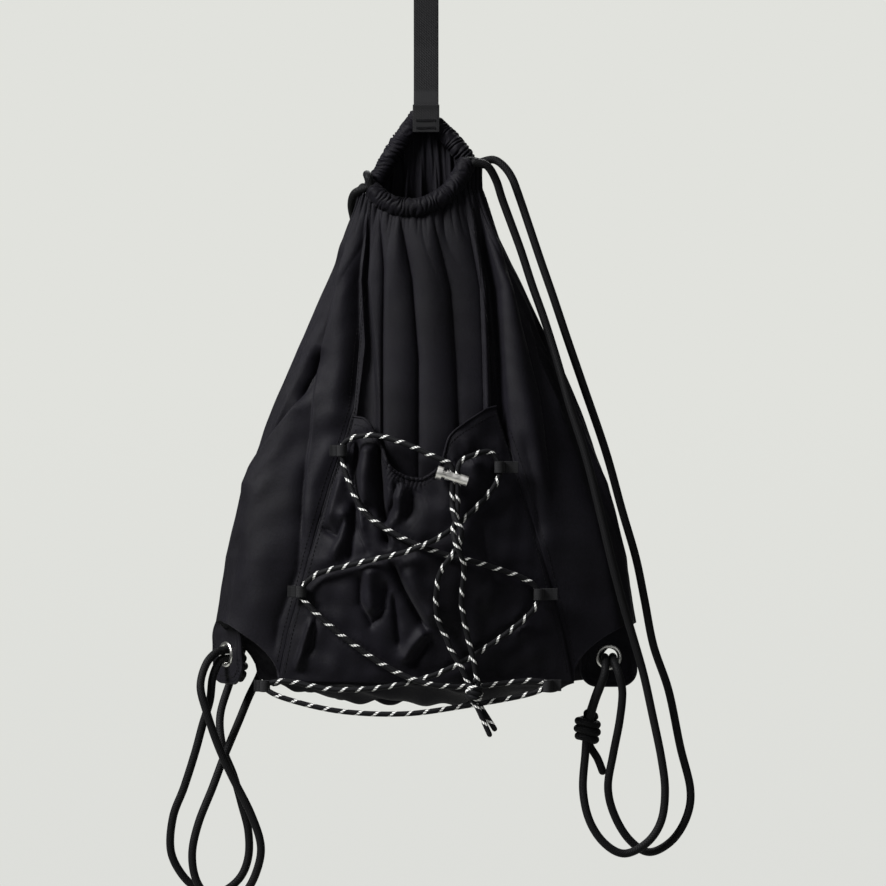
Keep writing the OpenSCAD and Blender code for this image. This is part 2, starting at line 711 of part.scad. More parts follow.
// Cut for the two cords, upright in the bag's frame
module cord_slot(x0, x1) {
    translate([(x0 + x1) / 2, 0, 0])
        rotate([0, -toggle_tilt, 0])
            cube([(x1 - x0) / cos(toggle_tilt), slot_w, 2 * button_d], center = true);
}
module toggle_barrel() {
    color(metal)
        along_toggle()
            difference() {
                rod(0, barrel_l, barrel_d);
                rod(-1, barrel_l - cap_t, plunger_d + 2 * running_gap);
                rod(barrel_l - cap_t - 0.01, barrel_l + 1, barrel_d - 2 * cap_wall);
                cord_slot(slot_start, slot_end);
            }
}
module toggle_end_cap() {
    color(metal) along_toggle() rod(barrel_l - cap_t, barrel_l, barrel_d - 2 * cap_wall);
}
module toggle_plunger() {
    color(metal)
        along_toggle()
            difference() {
                union() {
                    rod(-button_gap - 0.01, rod_end, plunger_d);
                    rod(-button_gap - button_l, -button_gap, button_d);
                }
                cord_slot(slot_start - press_travel - 0.2, slot_end);
            }
}
module toggle_spring() {
    r = plunger_d / 2 - spring_wire / 2 - 0.3;
    free = barrel_l - cap_t - rod_end - spring_wire;
    line = [
        for (a = [0:30:360 * spring_turns])
            [rod_end + spring_wire / 2 + free * a / (360 * spring_turns), r * cos(a), r * sin(a)]
    ];
    color(metal) along_toggle() tube(line, spring_wire, 6);
}

front_panel();
side_panel_right();
back_panel();
side_panel_left();
bottom_panel();
front_pocket();
pocket_elastic();
casing_front();
casing_back();
hang_strap();
strap_bar_tacks();
corner_tab_left();
corner_tab_right();
eyelet_left();
eyelet_right();
eyelet_washer_left();
eyelet_washer_right();
drawcord_run_left();
drawcord_run_right();
drawcord_left_inner();
drawcord_left_outer();
drawcord_right_inner();
drawcord_right_outer();
drawcord_knot_left();
drawcord_knot_right();
bungee_lacing();
bungee_tail_left();
bungee_tail_right();
bungee_knot();
anchor_top_left();
anchor_top_right();
anchor_mid_left();
anchor_mid_right();
anchor_low_left();
anchor_low_right();
toggle_barrel();
toggle_end_cap();
toggle_plunger();
toggle_spring();
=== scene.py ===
"""Looks of a black drawstring backpack: gathered nylon, braided cords, laced bungee and a metal toggle."""

import logging
import math
from dataclasses import dataclass
from enum import Enum
from typing import Sequence

import bmesh
import bpy
import numpy as np
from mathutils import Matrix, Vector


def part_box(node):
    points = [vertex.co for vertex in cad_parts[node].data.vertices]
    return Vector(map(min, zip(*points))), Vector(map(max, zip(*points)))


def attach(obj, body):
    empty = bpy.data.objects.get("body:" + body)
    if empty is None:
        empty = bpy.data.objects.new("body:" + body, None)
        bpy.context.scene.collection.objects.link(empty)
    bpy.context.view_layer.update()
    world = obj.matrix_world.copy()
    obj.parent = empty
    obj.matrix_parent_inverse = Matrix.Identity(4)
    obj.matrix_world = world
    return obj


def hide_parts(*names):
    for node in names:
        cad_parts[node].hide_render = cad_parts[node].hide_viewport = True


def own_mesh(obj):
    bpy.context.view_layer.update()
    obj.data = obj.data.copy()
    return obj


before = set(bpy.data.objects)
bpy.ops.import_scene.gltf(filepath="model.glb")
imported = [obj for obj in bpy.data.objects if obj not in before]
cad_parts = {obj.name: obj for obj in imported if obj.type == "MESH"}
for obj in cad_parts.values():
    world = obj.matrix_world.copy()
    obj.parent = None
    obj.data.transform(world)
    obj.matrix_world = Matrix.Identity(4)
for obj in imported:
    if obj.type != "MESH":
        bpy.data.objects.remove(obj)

Array = np.ndarray
Inputs = dict[str, object]
Rows = Sequence[Sequence[float]]
Piece = bpy.types.Object
Tree = bpy.types.NodeTree
Socket = bpy.types.NodeSocket
log = logging.getLogger("backpack")
MM = 0.001
ROOT = "root"
SPAN_STEPS = 24  # places worked out between two points of a route
SEAMS = {"a": 3, "b": -4}  # columns of a panel's grid that its topstitching follows
THREAD_D, ABOVE_CLOTH = 0.0006, 0.0002


# ---- arithmetic


def unit(v: Array) -> Array:
    """Vectors of length one along v."""
    return v / np.maximum(np.linalg.norm(v, axis=-1, keepdims=True), 1e-12)


def smoothstep(x: Array, low: float, high: float) -> Array:
    """Zero below low, one above high, and a cubic ramp between."""
    t = np.clip((x - low) / (high - low), 0, 1)
    return t * t * (3 - 2 * t)


def lookup(x: Array, rows: Rows) -> Array:
    """Straight lines through rows of [place, value]."""
    table = np.array(rows, float)
    return np.interp(x, table[:, 0], table[:, 1])


def signed_power(a: Array, e: Array) -> Array:
    """The size of a to the power e, with the sign of a."""
    return np.sign(a) * np.abs(a) ** e


def pleat(phase: Array) -> Array:
    """Rounded ridges with narrow valleys at whole phases: one minus the distance to a half, to the power 2.4."""
    return 1 - np.abs(2 * (phase - np.floor(phase)) - 1) ** 2.4


def whole_turn(steps: int) -> Array:
    """Angles at even steps round a circle, in radians."""
    return np.linspace(0, 2 * np.pi, steps, endpoint=False)


def ripple(x: Array, y: Array, low: float, high: float, seed: int, waves: int = 9) -> Array:
    """A seeded sum of plane waves in random directions.

    Args:
        x, y: Places, in metres.
        low, high: Shortest and longest wavelength, in metres.
        seed: Seed of the directions, wavelengths and phases.
        waves: How many waves are summed.

    Returns:
        Heights between about -1 and 1.
    """
    rng = np.random.default_rng(seed)
    turn = rng.uniform(0, 2 * np.pi, waves)
    k = 2 * np.pi / rng.uniform(low, high, waves)
    start = rng.uniform(0, 2 * np.pi, waves)
    arg = x[..., None] * (k * np.cos(turn)) + y[..., None] * (k * np.sin(turn)) + start
    return np.sin(arg).sum(-1) / math.sqrt(waves)


def run_of(line: Array) -> Array:
    """Length along a line up to each of its points."""
    return np.concatenate([[0], np.cumsum(np.linalg.norm(np.diff(line, axis=0), axis=1))])


def beside(x: Array, z: Array, line: Array) -> tuple[Array, Array]:
    """Signed distance from a line of straight pieces, and the length along it to the nearest place.

    Args:
        x, z: Places, in metres.
        line: The line's points, from top to bottom.

    Returns:
        The distance, positive to the line's left as it runs, which is right of it seen from the front, and the
        length along it.
    """
    start = run_of(line)
    best, off, along = np.full(x.shape, np.inf), np.zeros(x.shape), np.zeros(x.shape)
    for a, b, before in zip(line, line[1:], start):
        d = b - a
        length = np.linalg.norm(d)
        t = np.clip(((x - a[0]) * d[0] + (z - a[1]) * d[1]) / length**2, 0, 1)
        fx, fz = x - a[0] - t * d[0], z - a[1] - t * d[1]
        far = np.hypot(fx, fz)
        closer = far < best
        best = np.where(closer, far, best)
        off = np.where(closer, far * np.sign(d[0] * fz - d[1] * fx), off)
        along = np.where(closer, before + t * length, along)
    return off, along


def even_route(points: Array, step: float) -> Array:
    """A Catmull-Rom curve through points, taken at even steps along its length.

    Args:
        points: The route's points, in metres.
        step: Distance between the places returned, in metres.

    Returns:
        Places along the curve, from the first point to the last.
    """
    p = np.asarray(points, float)
    q = np.vstack([p[:1], p, p[-1:]])
    a, b, c, d = (q[i:len(q) - 3 + i, None, :] for i in range(4))
    t = np.linspace(0, 1, SPAN_STEPS, endpoint=False)[None, :, None]
    curve = 0.5 * (2 * b + (c - a) * t + (2 * a - 5 * b + 4 * c - d) * t**2 + (3 * b - a - 3 * c + d) * t**3)
    return even_line(np.vstack([curve.reshape(-1, 3), p[-1:]]), step)


def even_line(line: Array, step: float) -> Array:
    """The same line taken at even steps along its length."""
    s = run_of(line)
    at = np.linspace(0, s[-1], max(2, round(s[-1] / step) + 1))
    return at_lengths(at, s, line)


def at_lengths(at: Array, s: Array, values: Array) -> Array:
    """Values of three numbers at lengths along a line, whose points are at the lengths s."""
    return np.stack([np.interp(at, s, values[:, k]) for k in range(3)], axis=1)


def length_of(line: Array) -> float:
    """Length of a line of points."""
    return float(np.linalg.norm(np.diff(line, axis=0), axis=1).sum())


def carried_frame(line: Array, first: Sequence[float]) -> tuple[Array, Array, Array]:
    """Tangent, side and third direction at each point of a line, carried along it without a twist.

    Args:
        line: Points of the line.
        first: Direction that the side starts nearest to.

    Returns:
        Tangents, sides and their cross products.
    """
    t = unit(np.gradient(line, axis=0))
    side = np.empty_like(t)
    n = np.array(first, float)
    for i, along in enumerate(t):
        n = n - (n @ along) * along
        n /= np.linalg.norm(n)
        side[i] = n
    return t, side, np.cross(t, side)


def outward(points: Array) -> Array:
    """Normals of a grid: the cross product of its steps across and its steps down."""
    return unit(np.cross(np.gradient(points, axis=1), -np.gradient(points, axis=0)))


# ---- meshes


def linked(name: str, data: bpy.types.ID) -> Piece:
    """A new object in the scene that holds the data."""
    made = bpy.data.objects.new(name, data)
    bpy.context.scene.collection.objects.link(made)
    return made


def grid_mesh(name: str, points: Array, scale: tuple[float, float], wrap: bool = False,
              capped: bool = False) -> Piece:
    """A piece from a grid of points: rows run down, columns run to the right seen from outside.

    Args:
        name: Name of the piece.
        points: Array of rows by columns by three.
        scale: Real width and height that the piece's UV map spans, in metres.
        wrap: Whether the last column joins the first.
        capped: Whether the first and last rows are closed with a face.

    Returns:
        The piece, at the origin.
    """
    rows, cols = points.shape[:2]
    across = cols + int(wrap)
    j, i = np.mgrid[0:rows - 1, 0:across - 1]
    corners = np.stack([np.stack([j + dj, i + di], -1) for dj, di in ((0, 0), (1, 0), (1, 1), (0, 1))], 2)
    corners = corners.reshape(-1, 4, 2)
    quads = corners[..., 0] * cols + corners[..., 1] % cols
    uv = corners[..., ::-1] / np.array([across - 1, rows - 1]) * np.array(scale)
    faces = quads.tolist()
    flat_uv = uv.reshape(-1, 2)
    if capped:
        ring = np.arange(cols)
        faces += [ring.tolist(), ((rows - 1) * cols + ring[::-1]).tolist()]
        flat_uv = np.vstack([flat_uv, np.zeros((2 * cols, 2))])
    mesh = bpy.data.meshes.new(name)
    mesh.from_pydata(points.reshape(-1, 3).tolist(), [], faces)
    mesh.uv_layers.new(name="surface").data.foreach_set("uv", flat_uv.astype(np.float32).ravel())
    mesh.polygons.foreach_set("use_smooth", np.ones(len(faces), bool))
    mesh.update()
    return linked(name, mesh)


def tube_points(line: Array, radius: Array, sides: int, first: Sequence[float] = (0, 1, 0),
                flat: float = 1.0) -> Array:
    """Rings round a line: the centre plus radius times cosine of the side and sine of the third direction.

    Args:
        line: Centreline.
        radius: Radius at each point, or at each point and angle.
        sides: Points round the tube.
        first: Direction that the first side lies nearest to.
        flat: Share by which the first direction is thinner.

    Returns:
        Grid of rows along the line by sides.
    """
    _, side, third = carried_frame(line, first)
    turn = whole_turn(sides)
    r = np.broadcast_to(np.asarray(radius, float).reshape(len(line), -1), (len(line), sides))[..., None]
    return line[:, None] + r * (flat * np.cos(turn)[None, :, None] * side[:, None]
                                + np.sin(turn)[None, :, None] * third[:, None])


def round_ended(line: Array, radius: float) -> tuple[Array, Array]:
    """A line with domed ends: its points and the radius at each, which follows a quarter circle at the ends."""
    t = unit(np.gradient(line, axis=0))
    turn = np.linspace(0.03, 1, 5) * np.pi / 2
    head = line[0] - t[0] * radius * np.cos(turn)[:, None]
    tail = line[-1] + t[-1] * radius * np.cos(turn[::-1])[:, None]
    r = np.concatenate([radius * np.sin(turn), np.full(len(line) - 2, radius), radius * np.sin(turn[::-1])])
    return np.vstack([head, line[1:-1], tail]), r


def cord_mesh(name: str, line: Array, diameter: float, sides: int = 14) -> Piece:
    """A round cord with domed ends, whose UV map is in metres along it and in turns round it."""
    centre, radius = round_ended(line, diameter / 2)
    return grid_mesh(name, tube_points(centre, radius, sides), (1.0, length_of(centre)), True, True)


def rounded(profile: Rows, radius: float, steps: int = 5) -> Array:
    """A closed profile with each corner cut back by radius and rounded by a quadratic curve."""
    p = np.array(profile, float)
    before, after = np.roll(p, 1, 0), np.roll(p, -1, 0)
    reach = np.minimum(radius, 0.45 * np.minimum(np.linalg.norm(before - p, axis=1), np.linalg.norm(after - p, axis=1)))
    a = p + unit(before - p) * reach[:, None]
    b = p + unit(after - p) * reach[:, None]
    t = np.linspace(0, 1, steps)[None, :, None]
    curve = (1 - t) ** 2 * a[:, None] + 2 * t * (1 - t) * p[:, None] + t**2 * b[:, None]
    return curve.reshape(-1, p.shape[1])


def swept_strip(name: str, line: Array, width_axis: Sequence[float], width: float,
                thickness: float) -> Piece:
    """Webbing: a rounded rectangle of width by thickness carried along a line.

    Args:
        name: Name of the piece.
        line: Middle line of the webbing.
        width_axis: Direction of its width.
        width: Width, in metres.
        thickness: Thickness, in metres.

    Returns:
        The piece, its UV map in metres along and across.
    """
    t = unit(np.gradient(line, axis=0))
    w = unit(np.array(width_axis, float))
    n = unit(np.cross(t, w))
    half_w, half_t = width / 2, thickness / 2
    section = rounded([[-half_w, -half_t], [half_w, -half_t], [half_w, half_t], [-half_w, half_t]], 0.6 * half_t)
    spans = np.linspace(-1, 1, 9)[1:-1] * (half_w - half_t)
    section = np.vstack([section[:5], np.stack([spans, np.full(7, -half_t)], 1), section[5:15],
                         np.stack([-spans, np.full(7, half_t)], 1), section[15:]])
    grid = line[:, None] + section[None, :, :1] * w + section[None, :, 1:] * n[:, None]
    return grid_mesh(name, grid[:, ::-1], (2 * (width + thickness), length_of(line)), True, True)


def joined(name: str, pieces: Sequence[Piece]) -> Piece:
    """Several pieces as one, with one name.

    Args:
        name: Name of the whole.
        pieces: The pieces, which become part of the first.

    Returns:
        The whole.
    """
    with bpy.context.temp_override(active_object=pieces[0], selected_editable_objects=list(pieces)):
        bpy.ops.object.join()
    pieces[0].name = name
    pieces[0].data.name = name
    return pieces[0]


def stitch_row(name: str, line: Array, normal: Array, pitch: float, length: float, width: float) -> Piece:
    """A row of stitches: one lozenge of eight points at each step of a line, on its tangent and normal.

    Args:
        name: Name of the piece.
        line: Points on the sewn surface.
        normal: The surface's normals at those points.
        pitch: Distance between stitches, in metres.
        length: Length of a stitch, in metres.
        width: Thickness of the thread, in metres.

    Returns:
        The piece.
    """
    s = run_of(line)
    at = np.arange(pitch / 2, s[-1] - length / 2, pitch)
    centre, t, n = (at_lengths(at, s, v) for v in (line, np.gradient(line, axis=0), normal))
    t, n = unit(t), unit(n)
    b = np.cross(n, t)
    shape = np.array([[-0.5, 0, -0.3], [-0.25, -0.5, 0], [-0.25, 0, 0.5], [-0.25, 0.5, 0],
                      [0.25, -0.5, 0], [0.25, 0, 0.5], [0.25, 0.5, 0], [0.5, 0, -0.3]])
    size = np.array([length, width, width])
    local = (shape * size)[None]
    verts = (centre[:, None] + local[..., :1] * t[:, None] + local[..., 1:2] * b[:, None]
             + local[..., 2:] * n[:, None])
    faces = [[0, 1, 2], [0, 2, 3], [1, 4, 5, 2], [2, 5, 6, 3], [4, 7, 5], [5, 7, 6], [0, 3, 6, 7], [0, 7, 4, 1]]
    every = [[8 * k + v for v in f] for k in range(len(at)) for f in faces]
    mesh = bpy.data.meshes.new(name)
    mesh.from_pydata(verts.reshape(-1, 3).tolist(), [], every)
    mesh.uv_layers.new(name="surface")
    mesh.update()
    return linked(name, mesh)


def thickened(piece: Piece, wall: float) -> Piece:
    """The sheet given its cloth's thickness, towards the inside."""
    solid = piece.modifiers.new("cloth", "SOLIDIFY")
    solid.thickness, solid.offset = wall, -1
    return piece


# ---- finishes


def linear(hex_colour: str) -> tuple[float, float, float, float]:
    """An sRGB hex colour as linear numbers: under 0.04045 over 12.92, else (c + 0.055) / 1.055 to the power 2.4."""
    c = [int(hex_colour[k:k + 2], 16) / 255 for k in (1, 3, 5)]
    return tuple(v / 12.92 if v <= 0.04045 else ((v + 0.055) / 1.055) ** 2.4 for v in c) + (1.0,)


def add_node(tree: Tree, kind: str, settings: dict | None = None, **inputs: object) -> bpy.types.Node:
    """Adds a node.

    Args:
        tree: The material's nodes.
        kind: Node type, without the word that every type starts with.
        settings: Properties of the node.
        **inputs: A value or an output socket for each input, by name with spaces as underscores, or i0, i1 by place.

    Returns:
        The node.
    """
    node = tree.nodes.new(f"ShaderNode{kind}")
    for key, value in (settings or {}).items():
        setattr(node, key, value)
    for key, value in inputs.items():
        socket = node.inputs[int(key[1:])] if key[1:].isdigit() else node.inputs[key.replace("_", " ")]
        if isinstance(value, Socket):
            tree.links.new(value, socket)
        else:
            socket.default_value = value
    return node


@dataclass(frozen=True)
class Finish:
    """What every finish has: a name, a base colour and the shader's own numbers."""

    name: str
    colour: str
    roughness: float = 0.6
    metallic: float = 0.0
    sheen: float = 0.0
    specular: float = 0.5
    # A second, lighter colour: random tone in the nylon and the floor, and a painted highlight on the crests of webbing
    # ribs and braid strands, against painted shade in their hollows.
    light: str = "#232325"

    def material(self) -> bpy.types.Material:
        """The material, made once."""
        found = bpy.data.materials.get(self.name)
        if found is not None:
            return found
        made = bpy.data.materials.new(self.name)
        made.use_nodes = True
        tree = made.node_tree
        tree.nodes.clear()
        plain = {"Base_Color": linear(self.colour), "Roughness": self.roughness, "Metallic": self.metallic,
                 "Sheen_Weight": self.sheen, "Sheen_Roughness": 0.5, "Specular_IOR_Level": self.specular}
        shader = add_node(tree, "BsdfPrincipled", **(plain | self.detail(tree)))
        add_node(tree, "OutputMaterial", {"is_active_output": True},
                 Surface=self.surface(tree, shader.outputs[0]))
        return made

    def detail(self, tree: Tree) -> Inputs:
        """Colour variation and relief, by shader input, which each kind of finish adds."""
        return {}

    def surface(self, tree: Tree, shader: Socket) -> Socket:
        """What the material's surface is: the shader, unless a kind of finish mixes it with another."""
        return shader

    def dress(self, piece: Piece) -> Piece:
        """Puts the finish on every slot of a piece."""
        if not piece.material_slots:
            piece.data.materials.append(None)
        for held in piece.material_slots:
            held.material = self.material()
        return piece


@dataclass(frozen=True)
class CrinkledNylon(Finish):
    """Washed plain-weave nylon: a fine thread, a dry crinkle all over and a soft, slightly purple sheen."""

    crinkle_mm: float = 7.0
    thread_mm: float = 0.8
    light: str = "#0e0c15"
    relief: float = 0.1
    grain_mm: float = 1.6
    thread_depth_mm: float = 0.12
    crinkle_depth_mm: float = 0.9

    def detail(self, tree: Tree) -> Inputs:
        """Creases from ridged noise, a thread from two crossed waves, and a lighter tone in random patches from cloud
        and grain noise.
        """
        place = add_node(tree, "TexCoord").outputs["Object"]
        crinkle, cloud, grain = (
            add_node(tree, "TexNoise", {"noise_type": kind}, Vector=place, **inputs).outputs["Fac"]
            for kind, inputs in (
                ("RIDGED_MULTIFRACTAL",
                 {"Scale": 1 / (self.crinkle_mm * MM), "Detail": 3.0, "Roughness": 0.45, "Distortion": 0.6}),
                ("FBM", {"Scale": 14.0, "Detail": 3.0, "Roughness": 0.5}),
                ("FBM", {"Scale": 1 / (self.grain_mm * MM), "Detail": 2.0})))
        split = add_node(tree, "SeparateXYZ", i0=add_node(tree, "UVMap", {"uv_map": "surface"}).outputs["UV"])
        turns = 2 * math.pi / (self.thread_mm * MM)
        threads = [
            add_node(tree, "Math", {"operation": "SINE"},
                     i0=add_node(tree, "Math", {"operation": "MULTIPLY"}, i0=axis, i1=turns).outputs[0])
            for axis in (split.outputs["X"], split.outputs["Y"])
        ]
        weave = add_node(tree, "Math", {"operation": "MULTIPLY"}, i0=threads[0].outputs[0],
                         i1=threads[1].outputs[0])
        tone = add_node(tree, "Math", {"operation": "ADD"}, i0=cloud, i1=grain)
        shade = add_node(tree, "MapRange", Value=tone.outputs[0], i1=0.7, i2=1.4)
        colour = add_node(tree, "Mix", {"data_type": "RGBA"}, i0=shade.outputs[0], A=linear(self.colour),
                          B=linear(self.light)).outputs["Result"]
        rough = add_node(tree, "MapRange", Value=crinkle, i1=0.0, i2=1.6, i3=self.roughness - 0.06,
                         i4=self.roughness + 0.1)
        cloth = add_node(tree, "Math", {"operation": "MULTIPLY_ADD"}, i0=grain, i1=3.0, i2=weave.outputs[0])
        fine = add_node(tree, "Bump", Height=cloth.outputs[0], Strength=0.4,
                        Distance=self.thread_depth_mm * MM)
        deep = add_node(tree, "Bump", Height=crinkle, Strength=self.relief,
                        Distance=self.crinkle_depth_mm * MM, Normal=fine.outputs[0])
        return {"Base_Color": colour, "Roughness": rough.outputs[0], "Normal": deep.outputs[0]}


@dataclass(frozen=True)
class FlatWebbing(Finish):
    """Flat polyester webbing: diagonal twill ribs about a millimetre apart, drawn a little coarse."""

    rib_mm: float = 1.3
    warp_share: float = 1.7
    depth_mm: float = 0.18

    def detail(self, tree: Tree) -> Inputs:
        """Twill: a wave along the sum of the two UV axes, crossed by half of a closer one over the width."""
        split = add_node(tree, "SeparateXYZ", i0=add_node(tree, "UVMap", {"uv_map": "surface"}).outputs["UV"])
        turns = 2 * math.pi / (self.rib_mm * MM)
        both = add_node(tree, "Math", {"operation": "ADD"}, i0=split.outputs["X"], i1=split.outputs["Y"])
        rib, warp = (
            add_node(tree, "Math", {"operation": "SINE"},
                     i0=add_node(tree, "Math", {"operation": "MULTIPLY"}, i0=axis, i1=rate).outputs[0])
            for axis, rate in ((both.outputs[0], turns), (split.outputs["X"], self.warp_share * turns)))
        height = add_node(tree, "Math", {"operation": "MULTIPLY_ADD"}, i0=warp.outputs[0], i1=0.5,
                          i2=rib.outputs[0]).outputs[0]
        # Painted shade: the colour follows the rib height, so the hollows between ribs are painted darker and the
        # crests lighter, on top of the bump.
        shade = add_node(tree, "MapRange", Value=height, i1=-1.2, i2=1.4)
        colour = add_node(tree, "Mix", {"data_type": "RGBA"}, i0=shade.outputs[0], A=linear(self.colour),
                          B=linear(self.light)).outputs["Result"]
        bump = add_node(tree, "Bump", Height=height, Strength=0.5, Distance=self.depth_mm * MM)
        return {"Base_Color": colour, "Normal": bump.outputs[0]}


@dataclass(frozen=True)
class Braid(Finish):
    """A braided sheath: two sets of strands that cross on the diagonal, with light tracer flecks if it has any."""

    pick_mm: float = 2.2
    strands: int = 8
    light: str = "#35353a"
    depth_mm: float = 0.35
    fleck: str = ""
    fleck_mm: float = 13.0
    fleck_share: float = 0.19
    dashes: float = 7.0
    dash_share: float = 0.72

    def detail(self, tree: Tree) -> Inputs:
        """Strands are waves along turns plus length and turns minus length, with painted shade in the grooves between
        them; a fleck is a short stretch of one.

        Each step names its result, its operation and what it works on: a number or an earlier result.
        """
        split = add_node(tree, "SeparateXYZ", i0=add_node(tree, "UVMap", {"uv_map": "surface"}).outputs["UV"])
        known = {"turns": split.outputs["X"], "length": split.outputs["Y"]}
        steps = [("round", "MULTIPLY", "turns", float(self.strands)),
                 ("along", "MULTIPLY", "length", 1 / (self.pick_mm * MM))]
        for way, operation in (("right", "ADD"), ("left", "SUBTRACT")):
            steps += [(way, operation, "along", "round"), (f"{way}_turn", "MULTIPLY", way, math.pi),
                      (f"{way}_wave", "SINE", f"{way}_turn"), (f"{way}_strand", "ABSOLUTE", f"{way}_wave")]
        # Painted shade: low is near nought in the grooves between strands, and shade makes it the share of the lighter
        # colour, so the grooves are painted dark and the strand crests light.
        steps += [("height", "MAXIMUM", "right_strand", "left_strand"),
                  ("low", "MULTIPLY", "right_strand", "left_strand"), ("shade", "MULTIPLY_ADD", "low", 0.7, 0.15)]
        if self.fleck:
            steps += [("repeat", "MULTIPLY", "length", 1 / (self.fleck_mm * MM)),
                      ("lean", "MULTIPLY_ADD", "turns", 1.0, "repeat"), ("diagonal", "FRACT", "lean"),
                      ("stripe", "LESS_THAN", "diagonal", self.fleck_share), ("back", "MULTIPLY", "repeat", -1.0),
                      ("counter", "MULTIPLY_ADD", "turns", self.dashes, "back"), ("dash", "FRACT", "counter"),
                      ("gap", "LESS_THAN", "dash", self.dash_share), ("mark", "MULTIPLY", "stripe", "gap")]
        for name, operation, *values in steps:
            inputs = {f"i{k}": known.get(v, v) for k, v in enumerate(values)}
            known[name] = add_node(tree, "Math", {"operation": operation}, **inputs).outputs[0]
        colour = linear(self.colour)
        # shade mixes in the painted groove shade; mark is the tracer flecks' own colour.
        for share, other in (("shade", self.light), ("mark", self.fleck)):
            if share in known:
                colour = add_node(tree, "Mix", {"data_type": "RGBA"}, i0=known[share], A=colour,
                                  B=linear(other)).outputs["Result"]
        bump = add_node(tree, "Bump", Height=known["height"], Strength=0.7, Distance=self.depth_mm * MM)
        return {"Base_Color": colour, "Normal": bump.outputs[0]}


@dataclass(frozen=True)
class PolishedMetal(Finish):
    """Turned or pressed metal, polished: fine turning marks and faint handling smudges in the gloss."""

    mark_mm: float = 0.4
    depth_mm: float = 0.05

    def detail(self, tree: Tree) -> Inputs:
        """Roughness from a cloudy smudge, relief from fine noise."""
        place = add_node(tree, "TexCoord").outputs["Object"]
        smudge = add_node(tree, "TexNoise", Vector=place, Scale=220.0, Detail=3.0, Roughness=0.5)
        rough = add_node(tree, "MapRange", Value=smudge.outputs["Fac"], i1=0.3, i2=0.7,
                         i3=self.roughness * 0.7, i4=self.roughness * 1.5)
        marks = add_node(tree, "TexNoise", Vector=place, Scale=1 / (self.mark_mm * MM), Detail=2.0)
        bump = add_node(tree, "Bump", Height=marks.outputs["Fac"], Strength=0.05,
                        Distance=self.depth_mm * MM)
        return {"Roughness": rough.outputs[0], "Normal": bump.outputs[0]}


@dataclass(frozen=True)
class MattePaint(Finish):
    """Flat floor paint with the faint mottle that a roller leaves, clear towards its rim."""

    light: str = "#a2a39f"
    inner: float = 0.7
    outer: float = 2.1

    def detail(self, tree: Tree) -> Inputs:
        """A very slow, very faint change of tone."""
        place = add_node(tree, "TexCoord").outputs["Object"]
        cloud = add_node(tree, "TexNoise", Vector=place, Scale=1.5, Detail=2.0)
        return {"Base_Color": add_node(tree, "Mix", {"data_type": "RGBA"}, i0=cloud.outputs["Fac"],
                                       A=linear(self.colour), B=linear(self.light)).outputs["Result"]}

    def surface(self, tree: Tree, shader: Socket) -> Socket:
        """The paint, with a clear share that grows with the distance from the middle."""
        place = add_node(tree, "TexCoord").outputs["Object"]
        level = add_node(tree, "VectorMath", {"operation": "MULTIPLY"}, i0=place, i1=(1, 1, 0))
        away = add_node(tree, "VectorMath", {"operation": "LENGTH"}, i0=level.outputs[0])
        clear = add_node(tree, "MapRange", {"interpolation_type": "SMOOTHSTEP"},
                         Value=away.outputs["Value"], i1=self.inner, i2=self.outer)
        none = add_node(tree, "BsdfTransparent")
        return add_node(tree, "MixShader", i0=clear.outputs[0], i1=shader, i2=none.outputs[0]).outputs[0]


NYLON = CrinkledNylon("crinkled_nylon", "#06050a", 0.64, sheen=0.03, specular=0.13)
GATHERED = CrinkledNylon("ruched_nylon", "#070609", 0.62, sheen=0.02, specular=0.1, crinkle_mm=4.0, relief=0.08)
WEBBING = FlatWebbing("flat_webbing", "#151516", 0.65, sheen=0.03, specular=0.15)
DRAWCORD = Braid("braided_polyester", "#070708", 0.6, sheen=0.02, specular=0.12, light="#101012")
BUNGEE = Braid("flecked_bungee", "#08080a", 0.6, sheen=0.02, specular=0.12, strands=6, pick_mm=1.6, light="#131316",
               fleck="#f2f2ef")
NICKEL = PolishedMetal("nickel_plate", "#e6e5e1", 0.25, metallic=1.0)
TURNED_STEEL = PolishedMetal("turned_steel", "#f0eeea", 0.4, metallic=1.0, mark_mm=0.25)
SPRING_WIRE = PolishedMetal("drawn_spring_wire", "#8d8d8b", 0.35, metallic=1.0)
TACK_THREAD = FlatWebbing("tack_thread", "#18181a", 0.6, rib_mm=0.5, light="#232325", specular=0.1)
THREAD = FlatWebbing("bonded_thread", "#0b0b0d", 0.5, rib_mm=0.5, light="#121214", specular=0.1)
FLOOR_PAINT = MattePaint("floor_paint", "#9b9c98", 0.95)


def settle(piece: Piece, finish: Finish, slot: str, *nodes: str, body: str = ROOT) -> Piece:
    """Dresses a piece and joins it to the frame.

    Args:
        piece: The piece, at the origin.
        finish: Its finish.
        slot: Not used.
        *nodes: The frame's nodes that it stands for, if any.
        body: The body that it rides on.

    Returns:
        The piece.
    """
    finish.dress(piece)
    if nodes:
        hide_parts(*nodes)
    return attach(piece, body)


def topstitch(name: str, line: Array, normal: Array, pitch: float = 0.0034, length: float = 0.0025,
              lift: float = ABOVE_CLOTH) -> None:
    """A row of topstitching, lifted off the cloth along its normals."""
    settle(stitch_row(name, line + lift * normal, normal, pitch, length, THREAD_D), THREAD, "nylon")


# ---- the bag's shape


